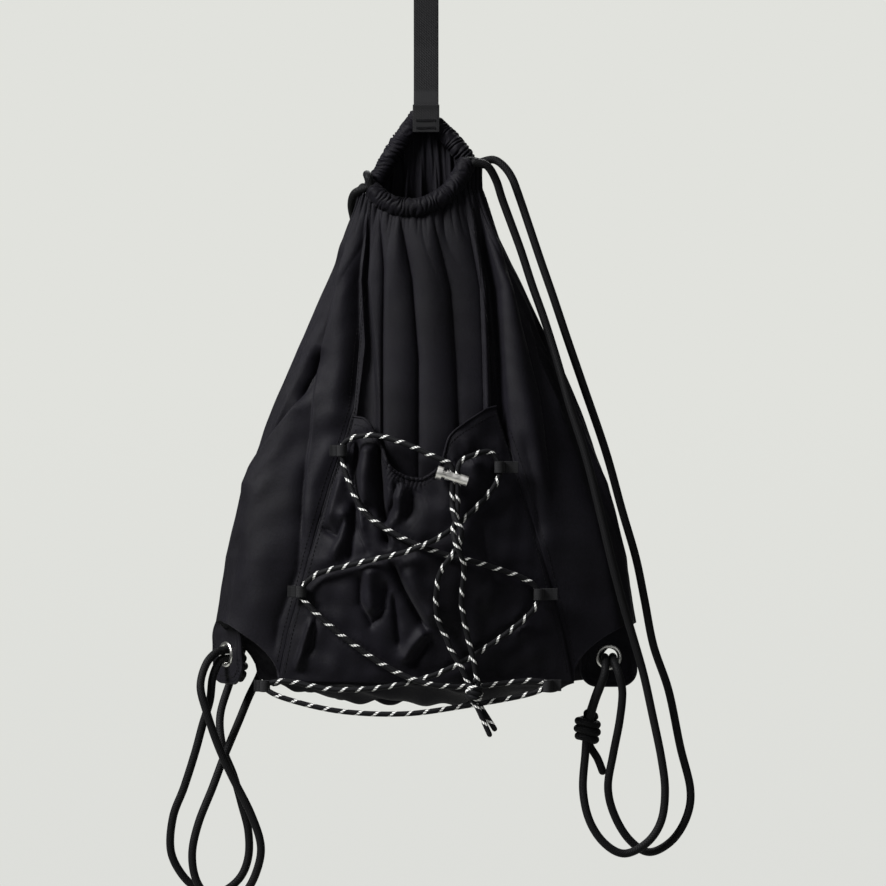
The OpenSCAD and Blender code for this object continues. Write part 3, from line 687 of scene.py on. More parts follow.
@dataclass(frozen=True)
class BagShape:
    """Sections of the bag: superellipses whose width, depths and middle change with height."""

    width: float = 0.340
    mouth: float = 0.096
    height: float = 0.394
    front: float = 0.046
    back: float = 0.034
    mouth_depth: float = 0.015
    mid_y: float = -0.014
    shift: float = -0.004
    left_low: float = 0.008
    tilt: float = 0.022
    front_sag: float = 0.026
    back_rise: float = 0.050
    base_sag: float = 0.018
    back_drop: float = 0.008
    corner_lift: float = 0.048
    peak_power: float = 1.12
    base_fullness: float = 2.2
    base_z: float = -0.554
    FLARE = ((0, 0), (0.1, 0.11), (0.25, 0.33), (0.45, 0.62), (0.6, 0.8), (0.75, 0.92), (0.9, 0.99), (1, 1))
    BELLY = ((0, 0), (0.25, 0.4), (0.5, 0.75), (0.75, 1), (1, 0.9))
    SEAM = ((0, 0.8), (0.2, 0.58), (0.45, 0.46), (0.75, 0.58), (1, 0.69))

    def share(self, z: Array) -> Array:
        """Share of the way down from the mouth's corners to the base."""
        return (self.base_z + self.height - z) / self.height

    def half_width(self, z: Array) -> Array:
        """Half width: from the mouth's to the bag's along the flare."""
        return (self.mouth + (self.width - self.mouth) * lookup(self.share(z), self.FLARE)) / 2

    def depth(self, z: Array, full: float) -> Array:
        """Depth to one side of the side line: from the mouth's to the full one along the belly."""
        return self.mouth_depth + (full - self.mouth_depth) * lookup(self.share(z), self.BELLY)

    def squareness(self, z: Array) -> Array:
        """Power of the superellipse, from 2 at the mouth to 2.3 at the base."""
        return 2 + 0.3 * np.clip(self.share(z), 0, 1)

    def middle(self, z: Array) -> Array:
        """Middle of the section across the bag."""
        return self.shift * np.maximum(0, 1 - 2.5 * np.maximum(0, self.share(z)))

    def wall(self, angle: Array, z: Array) -> tuple[Array, Array]:
        """The wall at an angle: middle plus width times cosine and depth times sine, to the power two over m.

        Args:
            angle: Angle in degrees; 90 is the middle of the front and 0 the right side.
            z: Height.

        Returns:
            Points and outward normals, from the superellipse's gradient.
        """
        m = self.squareness(z)
        e = 2 / m
        c, s = np.cos(np.radians(angle)), np.sin(np.radians(angle))
        w = self.half_width(z)
        d = np.where(s > 0, self.depth(z, self.front), self.depth(z, self.back))
        point = np.stack([self.middle(z) + w * signed_power(c, e), self.mid_y - d * signed_power(s, e), z], -1)
        normal = np.stack([signed_power(c, 2 - e) / w, -signed_power(s, 2 - e) / d, np.zeros_like(z)], -1)
        return point, unit(normal)

    def front_angle(self, z: Array) -> Array:
        """Angle of the princess seam."""
        return np.degrees(np.arccos(lookup(self.share(z), self.SEAM) ** (self.squareness(z) / 2)))

    def back_angle(self, z: Array) -> Array:
        """Angle of the back seam, at four fifths of the half width."""
        return np.degrees(np.arccos(0.8 ** (self.squareness(z) / 2)))

    def front_y(self, x: Array, z: Array) -> Array:
        """Y of the front wall at x and z."""
        m = self.squareness(z)
        f = np.clip(np.abs(x - self.middle(z)) / self.half_width(z), 0, 1)
        return self.mid_y - self.depth(z, self.front) * (1 - f**m) ** (1 / m)

    @property
    def left_z(self) -> float:
        """Height of the mouth's left corner."""
        return self.base_z + self.height - self.left_low

    @property
    def right_z(self) -> float:
        """Height of the mouth's right corner."""
        return self.left_z + self.tilt

    def front_top(self, u: Array) -> Array:
        """Sagging front edge of the mouth, from left to right."""
        return self.left_z + self.tilt * u - self.front_sag * 4 * u * (1 - u)

    def back_top(self, u: Array) -> Array:
        """Back edge of the mouth, which the strap draws up in the middle, from right to left."""
        return self.right_z - self.tilt * u + self.back_rise * (1 - np.abs(2 * u - 1) ** self.peak_power)

    def side_bottom(self, u: Array) -> Array:
        """Bottom edge of a side, which rises over the corner tab."""
        return self.base_z + self.corner_lift * np.sin(np.pi * np.clip(u, 0, 1)) ** 0.5

    def back_bottom(self, u: Array) -> Array:
        """Bottom edge of the back."""
        return self.base_z - self.back_drop * 4 * u * (1 - u)


class Wall(Enum):
    """The four panels round the bag."""

    FRONT = "front_panel"
    RIGHT = "side_panel_right"
    BACK = "back_panel"
    LEFT = "side_panel_left"


PANEL_GRIDS = {Wall.FRONT: (240, 200), Wall.RIGHT: (140, 250), Wall.BACK: (230, 200), Wall.LEFT: (140, 250)}


class Form(Enum):
    """How a fold stands across its line."""

    RIDGE = "ridge"
    VALLEY = "valley"
    EDGE = "edge"


@dataclass(frozen=True)
class Fold:
    """One fold of the cloth: its line from top to bottom, half width and height, all in millimetres."""

    form: Form
    line: tuple[tuple[float, float], ...]
    width: float
    height: float
    fade: float = 22

    def relief(self, x: Array, z: Array) -> Array:
        """Height times a profile of the distance over the width, faded towards both ends of the line.

        A ridge is the exponential of minus the square, a valley that of minus the power 1.2, and an edge stands
        proud on its right, drops on its left and comes back to the plain cloth slowly on both sides.
        """
        line = np.array(self.line, float) * MM
        off, along = beside(x, z, line)
        far = off / (self.width * MM)
        if self.form is Form.RIDGE:
            shape = np.exp(-far**2)
        elif self.form is Form.VALLEY:
            shape = -np.exp(-np.abs(far) ** 1.2)
        else:
            rise, fall = np.exp(-np.clip(far, 0, None)), -1.3 * np.exp(np.clip(far, None, 0) * 1.4)
            shape = fall + (rise - fall) * smoothstep(off, -0.0012, 0.0012)
        fade = self.fade * MM
        return self.height * MM * shape * smoothstep(along, 0, fade) * smoothstep(length_of(line) - along, 0, fade)


@dataclass(frozen=True)
class Pleats:
    """Long folds side by side: the lines between them and each one's height, in millimetres."""

    lines: tuple[tuple[tuple[float, float], ...], ...]
    heights: tuple[float, ...]
    end: float

    def relief(self, x: Array, z: Array) -> Array:
        """Between two lines, height times the root of four p times one minus p, p the share across."""
        at = [lookup(-z / MM, [(-row[1], row[0]) for row in line]) * MM for line in self.lines]
        total = np.zeros_like(x)
        for left, right, height in zip(at, at[1:], self.heights):
            p = (x - left) / (right - left)
            total = total + height * MM * np.sqrt(np.clip(4 * p * (1 - p), 0, 1))
        return total * smoothstep(z, self.end * MM, (self.end + 55) * MM)


FRONT_PLEATS = Pleats((
    ((-46, -174), (-51, -236), (-48, -287), (-53, -330), (-57, -380)),
    ((-43, -174), (-46, -236), (-41, -287), (-38, -330), (-38, -380)),
    ((-37, -175), (-33, -226), (-34, -287), (-34, -340), (-34, -380)),
    ((-22, -176), (-11, -234), (-6, -298), (-6, -359), (-6, -400)),
    ((3, -174), (19, -242), (23, -298), (26, -362), (27, -400)),
    ((29, -162), (43, -242), (45, -298), (46, -338), (47, -380)),
    ((34, -158), (48, -242), (50, -298), (51, -330), (52, -380)),
    ((38, -154), (57, -242), (61, -298), (63, -330), (70, -400)),
    ((43, -150), (75, -271), (91, -330), (101, -426), (108, -480)),
), (-6, 3.5, 6.5, 6.5, 2, 3.5, -8, 7.5), -415)
BACK_PLEATS = Pleats((
    ((-46, -160), (-76, -280), (-104, -400), (-112, -480)),
    ((-34, -150), (-58, -280), (-78, -400), (-84, -480)),
    ((-25, -140), (-40, -280), (-52, -400), (-55, -480)),
    ((-14, -130), (-22, -280), (-26, -400), (-27, -480)),
    ((-4, -120), (-3, -280), (-1, -400), (0, -480)),
    ((7, -130), (14, -280), (22, -400), (24, -480)),
    ((19, -140), (34, -280), (47, -400), (50, -480)),
    ((30, -150), (55, -280), (76, -400), (81, -480)),
    ((44, -160), (78, -280), (106, -400), (112, -480)),
), (5, 4, 5.5, 4.5, 5, 4, 5.5, 5), -520)
FRONT_FOLDS = (
    Fold(Form.RIDGE, ((-52, -168), (-64, -231), (-67, -298), (-74, -360)), 11, 5),
    Fold(Form.VALLEY, ((-48, -176), (-54, -236), (-54, -290), (-60, -345)), 5, 5),
    Fold(Form.EDGE, ((-62, -205), (-68, -230), (-75, -259), (-85, -297), (-104, -332), (-123, -356), (-141, -384),
                     (-152, -414)), 15, 4.2),
    Fold(Form.VALLEY, ((-84, -286), (-92, -314), (-106, -336)), 6, 9, 16),
    Fold(Form.EDGE, ((-84, -290), (-88, -310), (-91, -354), (-97, -400), (-98, -440)), 14, 2.6),
    Fold(Form.RIDGE, ((-69, -352), (-89, -398), (-93, -452)), 7, 2.5),
    Fold(Form.VALLEY, ((-96, -376), (-99, -430), (-102, -466), (-117, -505), (-121, -536)), 4.5, 3.5),
    Fold(Form.RIDGE, ((-128, -380), (-134, -440), (-132, -525)), 15, 3.2, 40),
    Fold(Form.VALLEY, ((-146, -430), (-153, -470), (-158, -520)), 9, 2.5),
    Fold(Form.RIDGE, ((60, -212), (72, -290), (84, -362), (94, -430)), 9, 3.5, 35),
    Fold(Form.EDGE, ((82, -262), (90, -296), (106, -330), (112, -350)), 9, -2.4),
    Fold(Form.VALLEY, ((86, -240), (112, -310), (128, -372), (138, -430)), 10, 4.5, 40),
    Fold(Form.RIDGE, ((84, -360), (92, -420), (98, -475)), 13, 2.4, 35),
    Fold(Form.VALLEY, ((74, -352), (86, -398), (92, -450)), 5, 3),
    Fold(Form.RIDGE, ((112, -370), (122, -440), (128, -510)), 14, 1.8, 40),
)
POCKET_FOLDS = (
    Fold(Form.RIDGE, ((-44, -362), (-46, -386), (-49, -418)), 6.5, 5.5, 10),
    Fold(Form.VALLEY, ((-38, -360), (-36, -394), (-34, -422), (-29, -450)), 3, 7.5, 12),
    Fold(Form.RIDGE, ((-31, -366), (-27, -390), (-20, -418)), 7, 4.5, 12),
    Fold(Form.VALLEY, ((-55, -352), (-58, -390), (-54, -432), (-43, -455)), 3.6, 5, 16),
    Fold(Form.RIDGE, ((-63, -384), (-73, -410), (-77, -432)), 6.5, 3.6, 12),
    Fold(Form.VALLEY, ((-88, -410), (-84, -430), (-71, -437), (-62, -420)), 3, 3.6, 8),
    Fold(Form.RIDGE, ((-62, -410), (-66, -440), (-74, -460)), 4.5, 3.6, 12),
    Fold(Form.VALLEY, ((-57, -404), (-59, -440), (-62, -464)), 2.8, 4, 12),
    Fold(Form.RIDGE, ((-52, -406), (-50, -434), (-46, -452)), 4.2, 3.4, 10),
    Fold(Form.RIDGE, ((-30, -420), (-25, -448)), 4, 2.8, 10),
    Fold(Form.VALLEY, ((-22, -392), (-26, -412), (-36, -430)), 2.4, 3, 8),
    Fold(Form.RIDGE, ((-17, -394), (-19, -412), (-25, -430)), 3.6, 2.4, 8),
    Fold(Form.VALLEY, ((-11, -398), (-12, -416), (-16, -428)), 2.4, 2.4, 8),
    Fold(Form.RIDGE, ((-43, -456), (-43, -482), (-42, -502)), 6, 3.6, 10),
    Fold(Form.VALLEY, ((-52, -462), (-52, -490), (-43, -507), (-33, -494), (-31, -470)), 2.8, 3.2, 10),
    Fold(Form.VALLEY, ((-29, -454), (-17, -480), (2, -514)), 3.2, 6.5, 12),
    Fold(Form.RIDGE, ((-19, -454), (-6, -480), (9, -510)), 9, 4.2, 16),
    Fold(Form.RIDGE, ((2, -508), (-10, -522), (-20, -538)), 4, 3.4, 8),
    Fold(Form.VALLEY, ((7, -514), (-4, -530), (-14, -544)), 3, 3, 8),
    Fold(Form.VALLEY, ((-26, -480), (-23, -506), (-21, -528)), 2.4, 3.2, 10),
    Fold(Form.RIDGE, ((-88, -500), (-93, -516), (-98, -532), (-103, -546)), 3, 3.4, 9),
    Fold(Form.VALLEY, ((-84, -488), (-88, -510), (-93, -534)), 2.8, 3, 10),
    Fold(Form.RIDGE, ((58, -468), (50, -482), (42, -498)), 6, 2.2, 10),
    Fold(Form.VALLEY, ((44, -420), (48, -450), (58, -480)), 5, 1.6, 14),
    Fold(Form.RIDGE, ((70, -490), (78, -515), (86, -540)), 8, 1.8, 14),
    Fold(Form.RIDGE, ((30, -352), (36, -376), (44, -402)), 6, 2, 12),
)


@dataclass(frozen=True)
class Drape:
    """How the cloth stands off its plain section: gathers at the mouth, long folds and soft wrinkles.

    Each set of gathers has its number in half a turn, its height and how far down it reaches.
    """

    shape: BagShape
    girth: float = 0.11
    wrinkle: float = 0.0009
    sewn: float = 0.012
    back_edge: float = 0.03
    free: float = 0.05
    GATHERS = ((26, 0.0019, 0.034), (11, 0.0016, 0.085))

    def relief(self, angle: Array, z: Array) -> Array:
        """Sum of all relief at a place of the wall.

        Args:
            angle: Angle round the bag, in degrees.
            z: Height.

        Returns:
            Distance along the outward normal.
        """
        point, _ = self.shape.wall(angle, z)
        x = point[..., 0]
        s = np.sin(np.radians(angle))
        around = np.radians(angle) * self.girth
        front, back = smoothstep(s, -0.05, 0.2), smoothstep(-s, 0.02, 0.3)
        total = front * (FRONT_PLEATS.relief(x, z) + sum(f.relief(x, z) for f in FRONT_FOLDS))
        total = total + back * BACK_PLEATS.relief(x, z)
        edge = np.where(s > 0, self.shape.left_z - self.sewn, self.shape.left_z + self.back_edge)
        below = edge + self.sewn - z
        total = total * smoothstep(below, 0, self.free)
        wander = 0.3 * ripple(angle / 60, z * 8, 0.5, 1.5, 3)
        for count, height, reach in self.GATHERS:
            phase = count * angle / 180 + wander
            total = total + height * (pleat(phase) - 0.4) * np.clip(1 - below / reach, 0, 1) ** 1.2
        low = smoothstep(self.shape.share(z), 0.15, 0.6)
        soft = ripple(around + x * 0.6, z * 0.15, 0.014, 0.05, 21) + 0.3 * ripple(around + x, z * 0.3, 0.008, 0.02, 33)
        hem = smoothstep(z, self.shape.base_z - 0.01, self.shape.base_z + 0.03)
        return total + self.wrinkle * soft * hem * (0.4 + 0.6 * low)

    def surface(self, angle: Array, z: Array) -> Array:
        """The draped cloth: the section plus its relief along the normal."""
        point, normal = self.shape.wall(angle, z)
        return point + self.relief(angle, z)[..., None] * normal


@dataclass
class BagBody:
    """The four wall panels, the base and their stitching."""

    shape: BagShape
    drape: Drape
    cloth: float = 0.0008
    tuck: float = 0.004

    def angles(self, wall: Wall, u: Array, z: Array) -> Array:
        """Angle across a panel, from its left edge to its right edge seen from outside."""
        fa, ba = self.shape.front_angle(z), self.shape.back_angle(z)
        ends = {Wall.FRONT: (180 - fa, fa), Wall.RIGHT: (fa, -ba), Wall.BACK: (-ba, ba - 180),
                Wall.LEFT: (ba - 180, -180 - fa)}[wall]
        return ends[0] + (ends[1] - ends[0]) * u

    def edges(self, wall: Wall, u: Array) -> tuple[Array, Array]:
        """Top and bottom heights of a panel across its width."""
        sh = self.shape
        flat = np.zeros_like(u)
        return {Wall.FRONT: (sh.front_top(u), sh.base_z + flat), Wall.RIGHT: (sh.right_z + flat, sh.side_bottom(u)),
                Wall.BACK: (sh.back_top(u), sh.back_bottom(u)), Wall.LEFT: (sh.left_z + flat, sh.side_bottom(u))}[wall]

    def panel(self, wall: Wall, cols: int, rows: int) -> None:
        """One panel: angle across and height down, from its top edge to its bottom edge."""
        v, u = np.meshgrid(np.linspace(0, 1, rows), np.linspace(0, 1, cols), indexing="ij")
        top, bottom = self.edges(wall, u)
        z = top + self.tuck * (1 - v) + (bottom - top) * v
        points = self.drape.surface(self.angles(wall, u, z), z)
        width = length_of(points[-1]) if wall in (Wall.FRONT, Wall.BACK) else length_of(points[rows // 2])
        piece = thickened(grid_mesh(f"{wall.value}_cloth", points, (width, length_of(points[:, cols // 2]))),
                          self.cloth)
        settle(piece, NYLON, "nylon", wall.value)
        normal = outward(points)
        for name, column in SEAMS.items():
            topstitch(f"{wall.value}_stitches_{name}", points[4:-2, column], normal[4:-2, column])

    def base(self) -> None:
        """The base: rings from the walls' bottom edge towards a sagging middle, whose height follows a power."""
        across = 60
        u = np.linspace(0, 1, across, endpoint=False)
        rim = []
        for wall in Wall:
            z = self.edges(wall, u)[1]
            rim.append(self.drape.surface(self.angles(wall, u, z), z))
        rim = np.vstack(rim)
        middle = np.array([0, self.shape.mid_y - 0.008, self.shape.base_z - self.shape.base_sag])
        s = np.linspace(1, 0.02, 44)[:, None]
        lifted = np.clip((rim[:, 2] - self.shape.base_z) / self.shape.corner_lift, 0, 1)
        rise = (1 - lifted) * (1 - s**self.shape.base_fullness) + lifted * (1 - s) ** 1.6
        x = middle[0] + (rim[:, 0] - middle[0]) * s
        y = middle[1] + (rim[:, 1] - middle[1]) * s
        z = rim[:, 2] + (middle[2] - rim[:, 2]) * rise
        soft = smoothstep(1 - s, 0, 0.12)
        z = z + soft * 0.0024 * ripple(x, y, 0.018, 0.05, 8)
        grid = np.stack([x, y, z], -1)
        piece = thickened(grid_mesh("bottom_panel_cloth", grid, (self.shape.width, 0.08), True, False), self.cloth)
        settle(piece, NYLON, "nylon", "bottom_panel")

    def build(self) -> None:
        """All panels and the base."""
        for wall, (cols, rows) in PANEL_GRIDS.items():
            self.panel(wall, cols, rows)
        self.base()


# ---- casings and strap


@dataclass
class Mouth:
    """The two gathered casings with the drawcords' runs inside them."""

    shape: BagShape
    outer: float = 0.016
    cord: float = 0.0065
    lift: float = 0.00733
    inset: float = 0.001
    wall: float = 0.0007
    pitch: float = 0.0038
    end: float = 0.004
    flat_round: float = 0.056
    fullness: float = 1.2
    MIDDLE = 5

    def line(self, back: bool) -> Array:
        """Middle line of a casing: the panel's top edge, raised so that the edge is sewn into the casing."""
        steps = 2 * self.MIDDLE + 1 if back else 9
        u = np.linspace(0, 1, steps)
        top = self.shape.back_top(u) if back else self.shape.front_top(u)
        fa, ba = self.shape.front_angle(top), self.shape.back_angle(top)
        start, end = (-ba, ba - 180) if back else (180 - fa, fa)
        point, normal = self.shape.wall(start + (end - start) * u, top)
        return point - self.inset * normal + np.array([0, 0, self.lift])

    def casing(self, name: str, node: str, back: bool) -> None:
        """A casing: a tube whose radius follows fine irregular gathers, drawn in at both ends."""
        line = even_route(self.line(back), 0.00045)
        s = np.linspace(0, length_of(line), len(line))[:, None]
        sides = 40
        turn = whole_turn(sides)[None, :]
        seed = 5 if back else 11
        place = 0.008 * turn
        phase = s / self.pitch + 0.55 * ripple(s, place, 0.008, 0.024, seed) + 0.5 * np.sin(turn + seed)
        ruffle = pleat(phase) - 0.5
        depth = 0.0011 + 0.0008 * ripple(s, place, 0.008, 0.03, seed + 1)
        near = np.clip(np.minimum(s, s[-1] - s) / self.end, 0, 1)
        drawn = np.sqrt(near * (2 - near))
        radius = (self.outer / 2 - 0.0008 + ruffle * depth) * (0.82 + 0.18 * drawn)
        grid = tube_points(line, radius, sides, (0, 0, 1))
        tall = float(s[-1, 0])
        piece = thickened(grid_mesh(name, grid[:, ::-1], (math.pi * self.outer, tall), True), self.wall)
        settle(piece, GATHERED, "gathered_nylon", node)

    def run(self, name: str, node: str, line: Array) -> None:
        """A drawcord's run inside the casings."""
        settle(cord_mesh(name, even_route(line, 0.0015), self.cord), DRAWCORD, "drawcord", node)

    def build(self) -> None:
        """Both casings and both runs."""
        front, back = self.line(False), self.line(True)
        lane = np.array([0, self.cord / 2 + 0.0001, 0])
        self.casing("casing_front_gathered", "casing_front", False)
        self.casing("casing_back_gathered", "casing_back", True)
        reach, lift, bulge = 0.004, 0.009, 0.013
        turn = np.array([front[0] + [-0.8 * reach, -lane[1], lift],
                         (front[0] + back[-1]) / 2 + [-reach, 0, lift + 0.003],
                         back[-1] + [-0.6 * reach, lane[1], lift]])
        self.run("run_right_cord", "drawcord_run_right", np.vstack([(front - lane)[::-1], turn, (back + lane)[::-1]]))
        across = np.array([(front[-1] + back[0]) / 2 + [bulge, 0, -0.002]])
        self.run("run_left_cord", "drawcord_run_left", np.vstack([front + lane, across, back - lane]))


@dataclass
class HangingStrap:
    """One length of flat webbing folded over a peg, its ends sewn either side of the back casing."""

    middle_y: float
    middle_z: float
    width: float = 0.020
    thickness: float = 0.0016
    gap: float = 0.008
    reach: float = 0.114
    patch_top: float = 0.0925
    length: float = 0.235
    casing: float = 0.016

    def leg(self) -> Array:
        """Distances from the middle and heights of one leg's middle line, from its sewn end up to the fold."""
        half = self.thickness / 2
        c, z = self.casing, self.middle_z
        return np.array([[half + c / 2 + 0.0004, -self.reach], [half + c / 2 + 0.0004, z - 0.001],
                         [half + c / 4 + 0.0015, z + c / 2 + 0.0025], [half + 0.0002, z + c / 2 + 0.011],
                         [half + 0.0002, -5.5 * self.gap], [half + self.gap / 2, -self.gap / 2]])

    def build(self) -> None:
        """The loop, its folded end in front and the bar tacks."""
        leg = self.leg()
        radius = leg[-1, 0]
        arc = np.radians(np.arange(15, 180, 15))
        fold = np.stack([radius * np.cos(arc), radius * np.sin(arc) - self.gap / 2], 1)
        flat = np.vstack([leg, fold, leg[::-1] * [-1, 1]])
        line = np.stack([np.zeros(len(flat)), flat[:, 0] + self.middle_y, flat[:, 1]], 1)
        loop = swept_strip("hang_strap_webbing", even_line(line, 0.0012), (1, 0, 0), self.width, self.thickness)
        settle(loop, WEBBING, "webbing", "hang_strap")
        face = self.middle_y - leg[0, 0] - self.thickness
        patch_z = np.linspace(-self.patch_top, -self.reach - 0.0005, 40)
        curl = 0.0006 * np.exp(-(patch_z + self.patch_top) ** 2 / (2 * 0.002**2))
        patch_line = np.stack([np.zeros(40), face - curl, patch_z], 1)
        patch = swept_strip("strap_end", patch_line, (1, 0, 0), self.width + 0.0014, self.thickness * 0.9)
        settle(patch, WEBBING, "webbing")
        self.tacks(face)

    def tacks(self, face: float) -> None:
        """Two bar tacks: close zigzag stitches across the end, in front of the folded webbing."""
        rows, steps = [], 60
        for k, z in enumerate((-0.111, -0.105)):
            x = np.linspace(-self.width / 2 + 0.002, self.width / 2 - 0.002, steps)
            zig = 0.0008 * np.sign(np.sin(np.arange(steps) * np.pi))
            line = np.stack([x, np.full(steps, face - self.thickness * 0.45 - ABOVE_CLOTH), z + zig], 1)
            normal = np.broadcast_to([0.0, -1.0, 0.0], line.shape)
            rows.append(stitch_row(f"tack_{k}", line, normal, 0.0006, 0.0012, 0.0007))
        settle(joined("strap_bar_tack_thread", rows), TACK_THREAD, "webbing", "strap_bar_tacks")


# ---- pocket


@dataclass
class Pocket:
    """The patch pocket: sewn along the princess seams, gathered into a dip on its top edge."""

    shape: BagShape
    laces: Array
    drop: float = 0.183
    dip: float = 0.050
    bulge: float = 0.014
    gap: float = 0.0005
    inset: float = 0.001
    cloth: float = 0.0009
    dip_u: float = 0.42
    gathers: int = 27
    fold_share: float = 1.4
    press_reach: float = 0.0045
    press_depth: float = 0.0012
    flat: tuple[float, float] = (0.26, 0.19)
    EDGE = ((0, 0), (0.08, 0.03), (0.13, 0.11), (0.16, 0.22), (0.2, 0.39), (0.25, 0.55), (0.29, 0.76), (0.33, 0.88),
            (0.4, 0.97), (0.48, 1), (0.53, 0.92), (0.57, 0.82), (0.6, 0.68), (0.64, 0.34), (0.69, 0.22),
            (0.77, 0.09), (0.86, -0.03), (0.93, -0.12), (1, -0.16))

    def top(self, u: Array) -> Array:
        """Height of the top edge: the plain edge less the dip."""
        x = np.linspace(0, 1, 200)
        soft = np.convolve(np.pad(lookup(x, self.EDGE), 3, "edge"), np.ones(7) / 7, "valid")
        return self.shape.base_z + self.shape.height - self.drop - self.dip * np.interp(u, x, soft)

    def point(self, u: Array, v: Array) -> Array:
        """A place on the pocket: the front wall less the swell, which is widest in the middle.

        Args:
            u: Share across, from the left seam.
            v: Share down, from the top edge.

        Returns:
            Points of the plain pocket.
        """
        z = self.top(u) + (self.shape.base_z + 0.001 - self.top(u)) * v
        seam = self.shape.half_width(z) * lookup(self.shape.share(z), self.shape.SEAM) - self.inset
        x = seam * (2 * u - 1)
        swell = self.bulge * (1 - (2 * u - 1) ** 2) * np.sin(np.pi * (0.35 + 0.65 * v)) ** 0.8
        y = self.shape.front_y(x, z) - swell - self.gap - self.cloth
        return np.stack([x, y, z], -1)

    def relief(self, u: Array, v: Array, points: Array) -> Array:
        """Gathers below the dip, pulled wrinkles and dents where the lacing presses."""
        x, z = points[..., 0], points[..., 2]
        near_dip = np.exp(-(((u - 0.36) / 0.14) ** 4))
        fan = (u - self.dip_u) / (0.55 + 1.1 * v)
        phase = self.gathers * fan + 0.8 * ripple(x, z, 0.012, 0.04, 41)
        total = 0.0013 * (pleat(phase) - 0.35) * near_dip * np.exp(-v / 0.08)
        total = total + self.fold_share * sum(f.relief(x, z) for f in POCKET_FOLDS)
        total = total + 0.0007 * ripple(x, z * 0.7, 0.012, 0.04, 57)
        flat = np.stack([x, z], -1).reshape(-1, 2)
        path = self.laces[::3][:, [0, 2]]
        best = np.sqrt(((flat[:, None] - path[None]) ** 2).sum(-1).min(1)).reshape(x.shape)
        press = np.exp(-((best / self.press_reach) ** 2))
        total = total * (1 - press) - self.press_depth * press
        edge = np.minimum(u, 1 - u) * 0.16
        sewn = smoothstep(edge, 0.0, 0.009) * smoothstep(1 - v, 0.0, 0.05)
        return total * sewn

    def build(self) -> None:
        """The cloth, its hem and its stitches."""
        rows, cols = 200, 235
        v, u = np.meshgrid(np.linspace(0, 1, rows) ** 1.15, np.linspace(0, 1, cols), indexing="ij")
        plain = self.point(u, v)
        normal = outward(plain)
        points = plain + self.relief(u, v, plain)[..., None] * normal
        piece = thickened(grid_mesh("front_pocket_cloth", points, (0.21, 0.19)), self.cloth)
        settle(piece, NYLON, "nylon", "front_pocket")
        self.hem(points, outward(points), piece)
        for name, column in zip(("left", "right"), SEAMS.values()):
            topstitch(f"pocket_stitches_{name}", points[6:-4, column], normal[6:-4, column])

    def hem(self, points: Array, normal: Array, cloth: Piece) -> None:
        """The elastic hem: a soft tube along the top edge, finely gathered in the dip, thin at the sides."""
        line = even_line(points[0], 0.0005)
        s = np.linspace(0, 1, len(line))[:, None]
        sides = 20
        turn = whole_turn(sides)[None, :]
        drawn = np.exp(-(((s - self.dip_u) / 0.3) ** 4))
        phase = s * length_of(line) / 0.0042 + 0.4 * ripple(s, 0.2 * np.cos(turn), 0.05, 0.2, 71)
        radius = 0.0009 + drawn * (0.0003 + 0.0005 * (pleat(phase) - 0.4))
        grid = tube_points(line, radius, sides, (0, 1, 0))
        piece = grid_mesh("pocket_hem", grid, (0.01, length_of(line)), True, True)
        settle(piece, GATHERED, "elastic", "pocket_elastic")
        below = 9
        topstitch("pocket_stitches_hem", points[below, 4:-4], normal[below, 4:-4], 0.0030, 0.0022)


# ---- tabs, eyelets and anchors


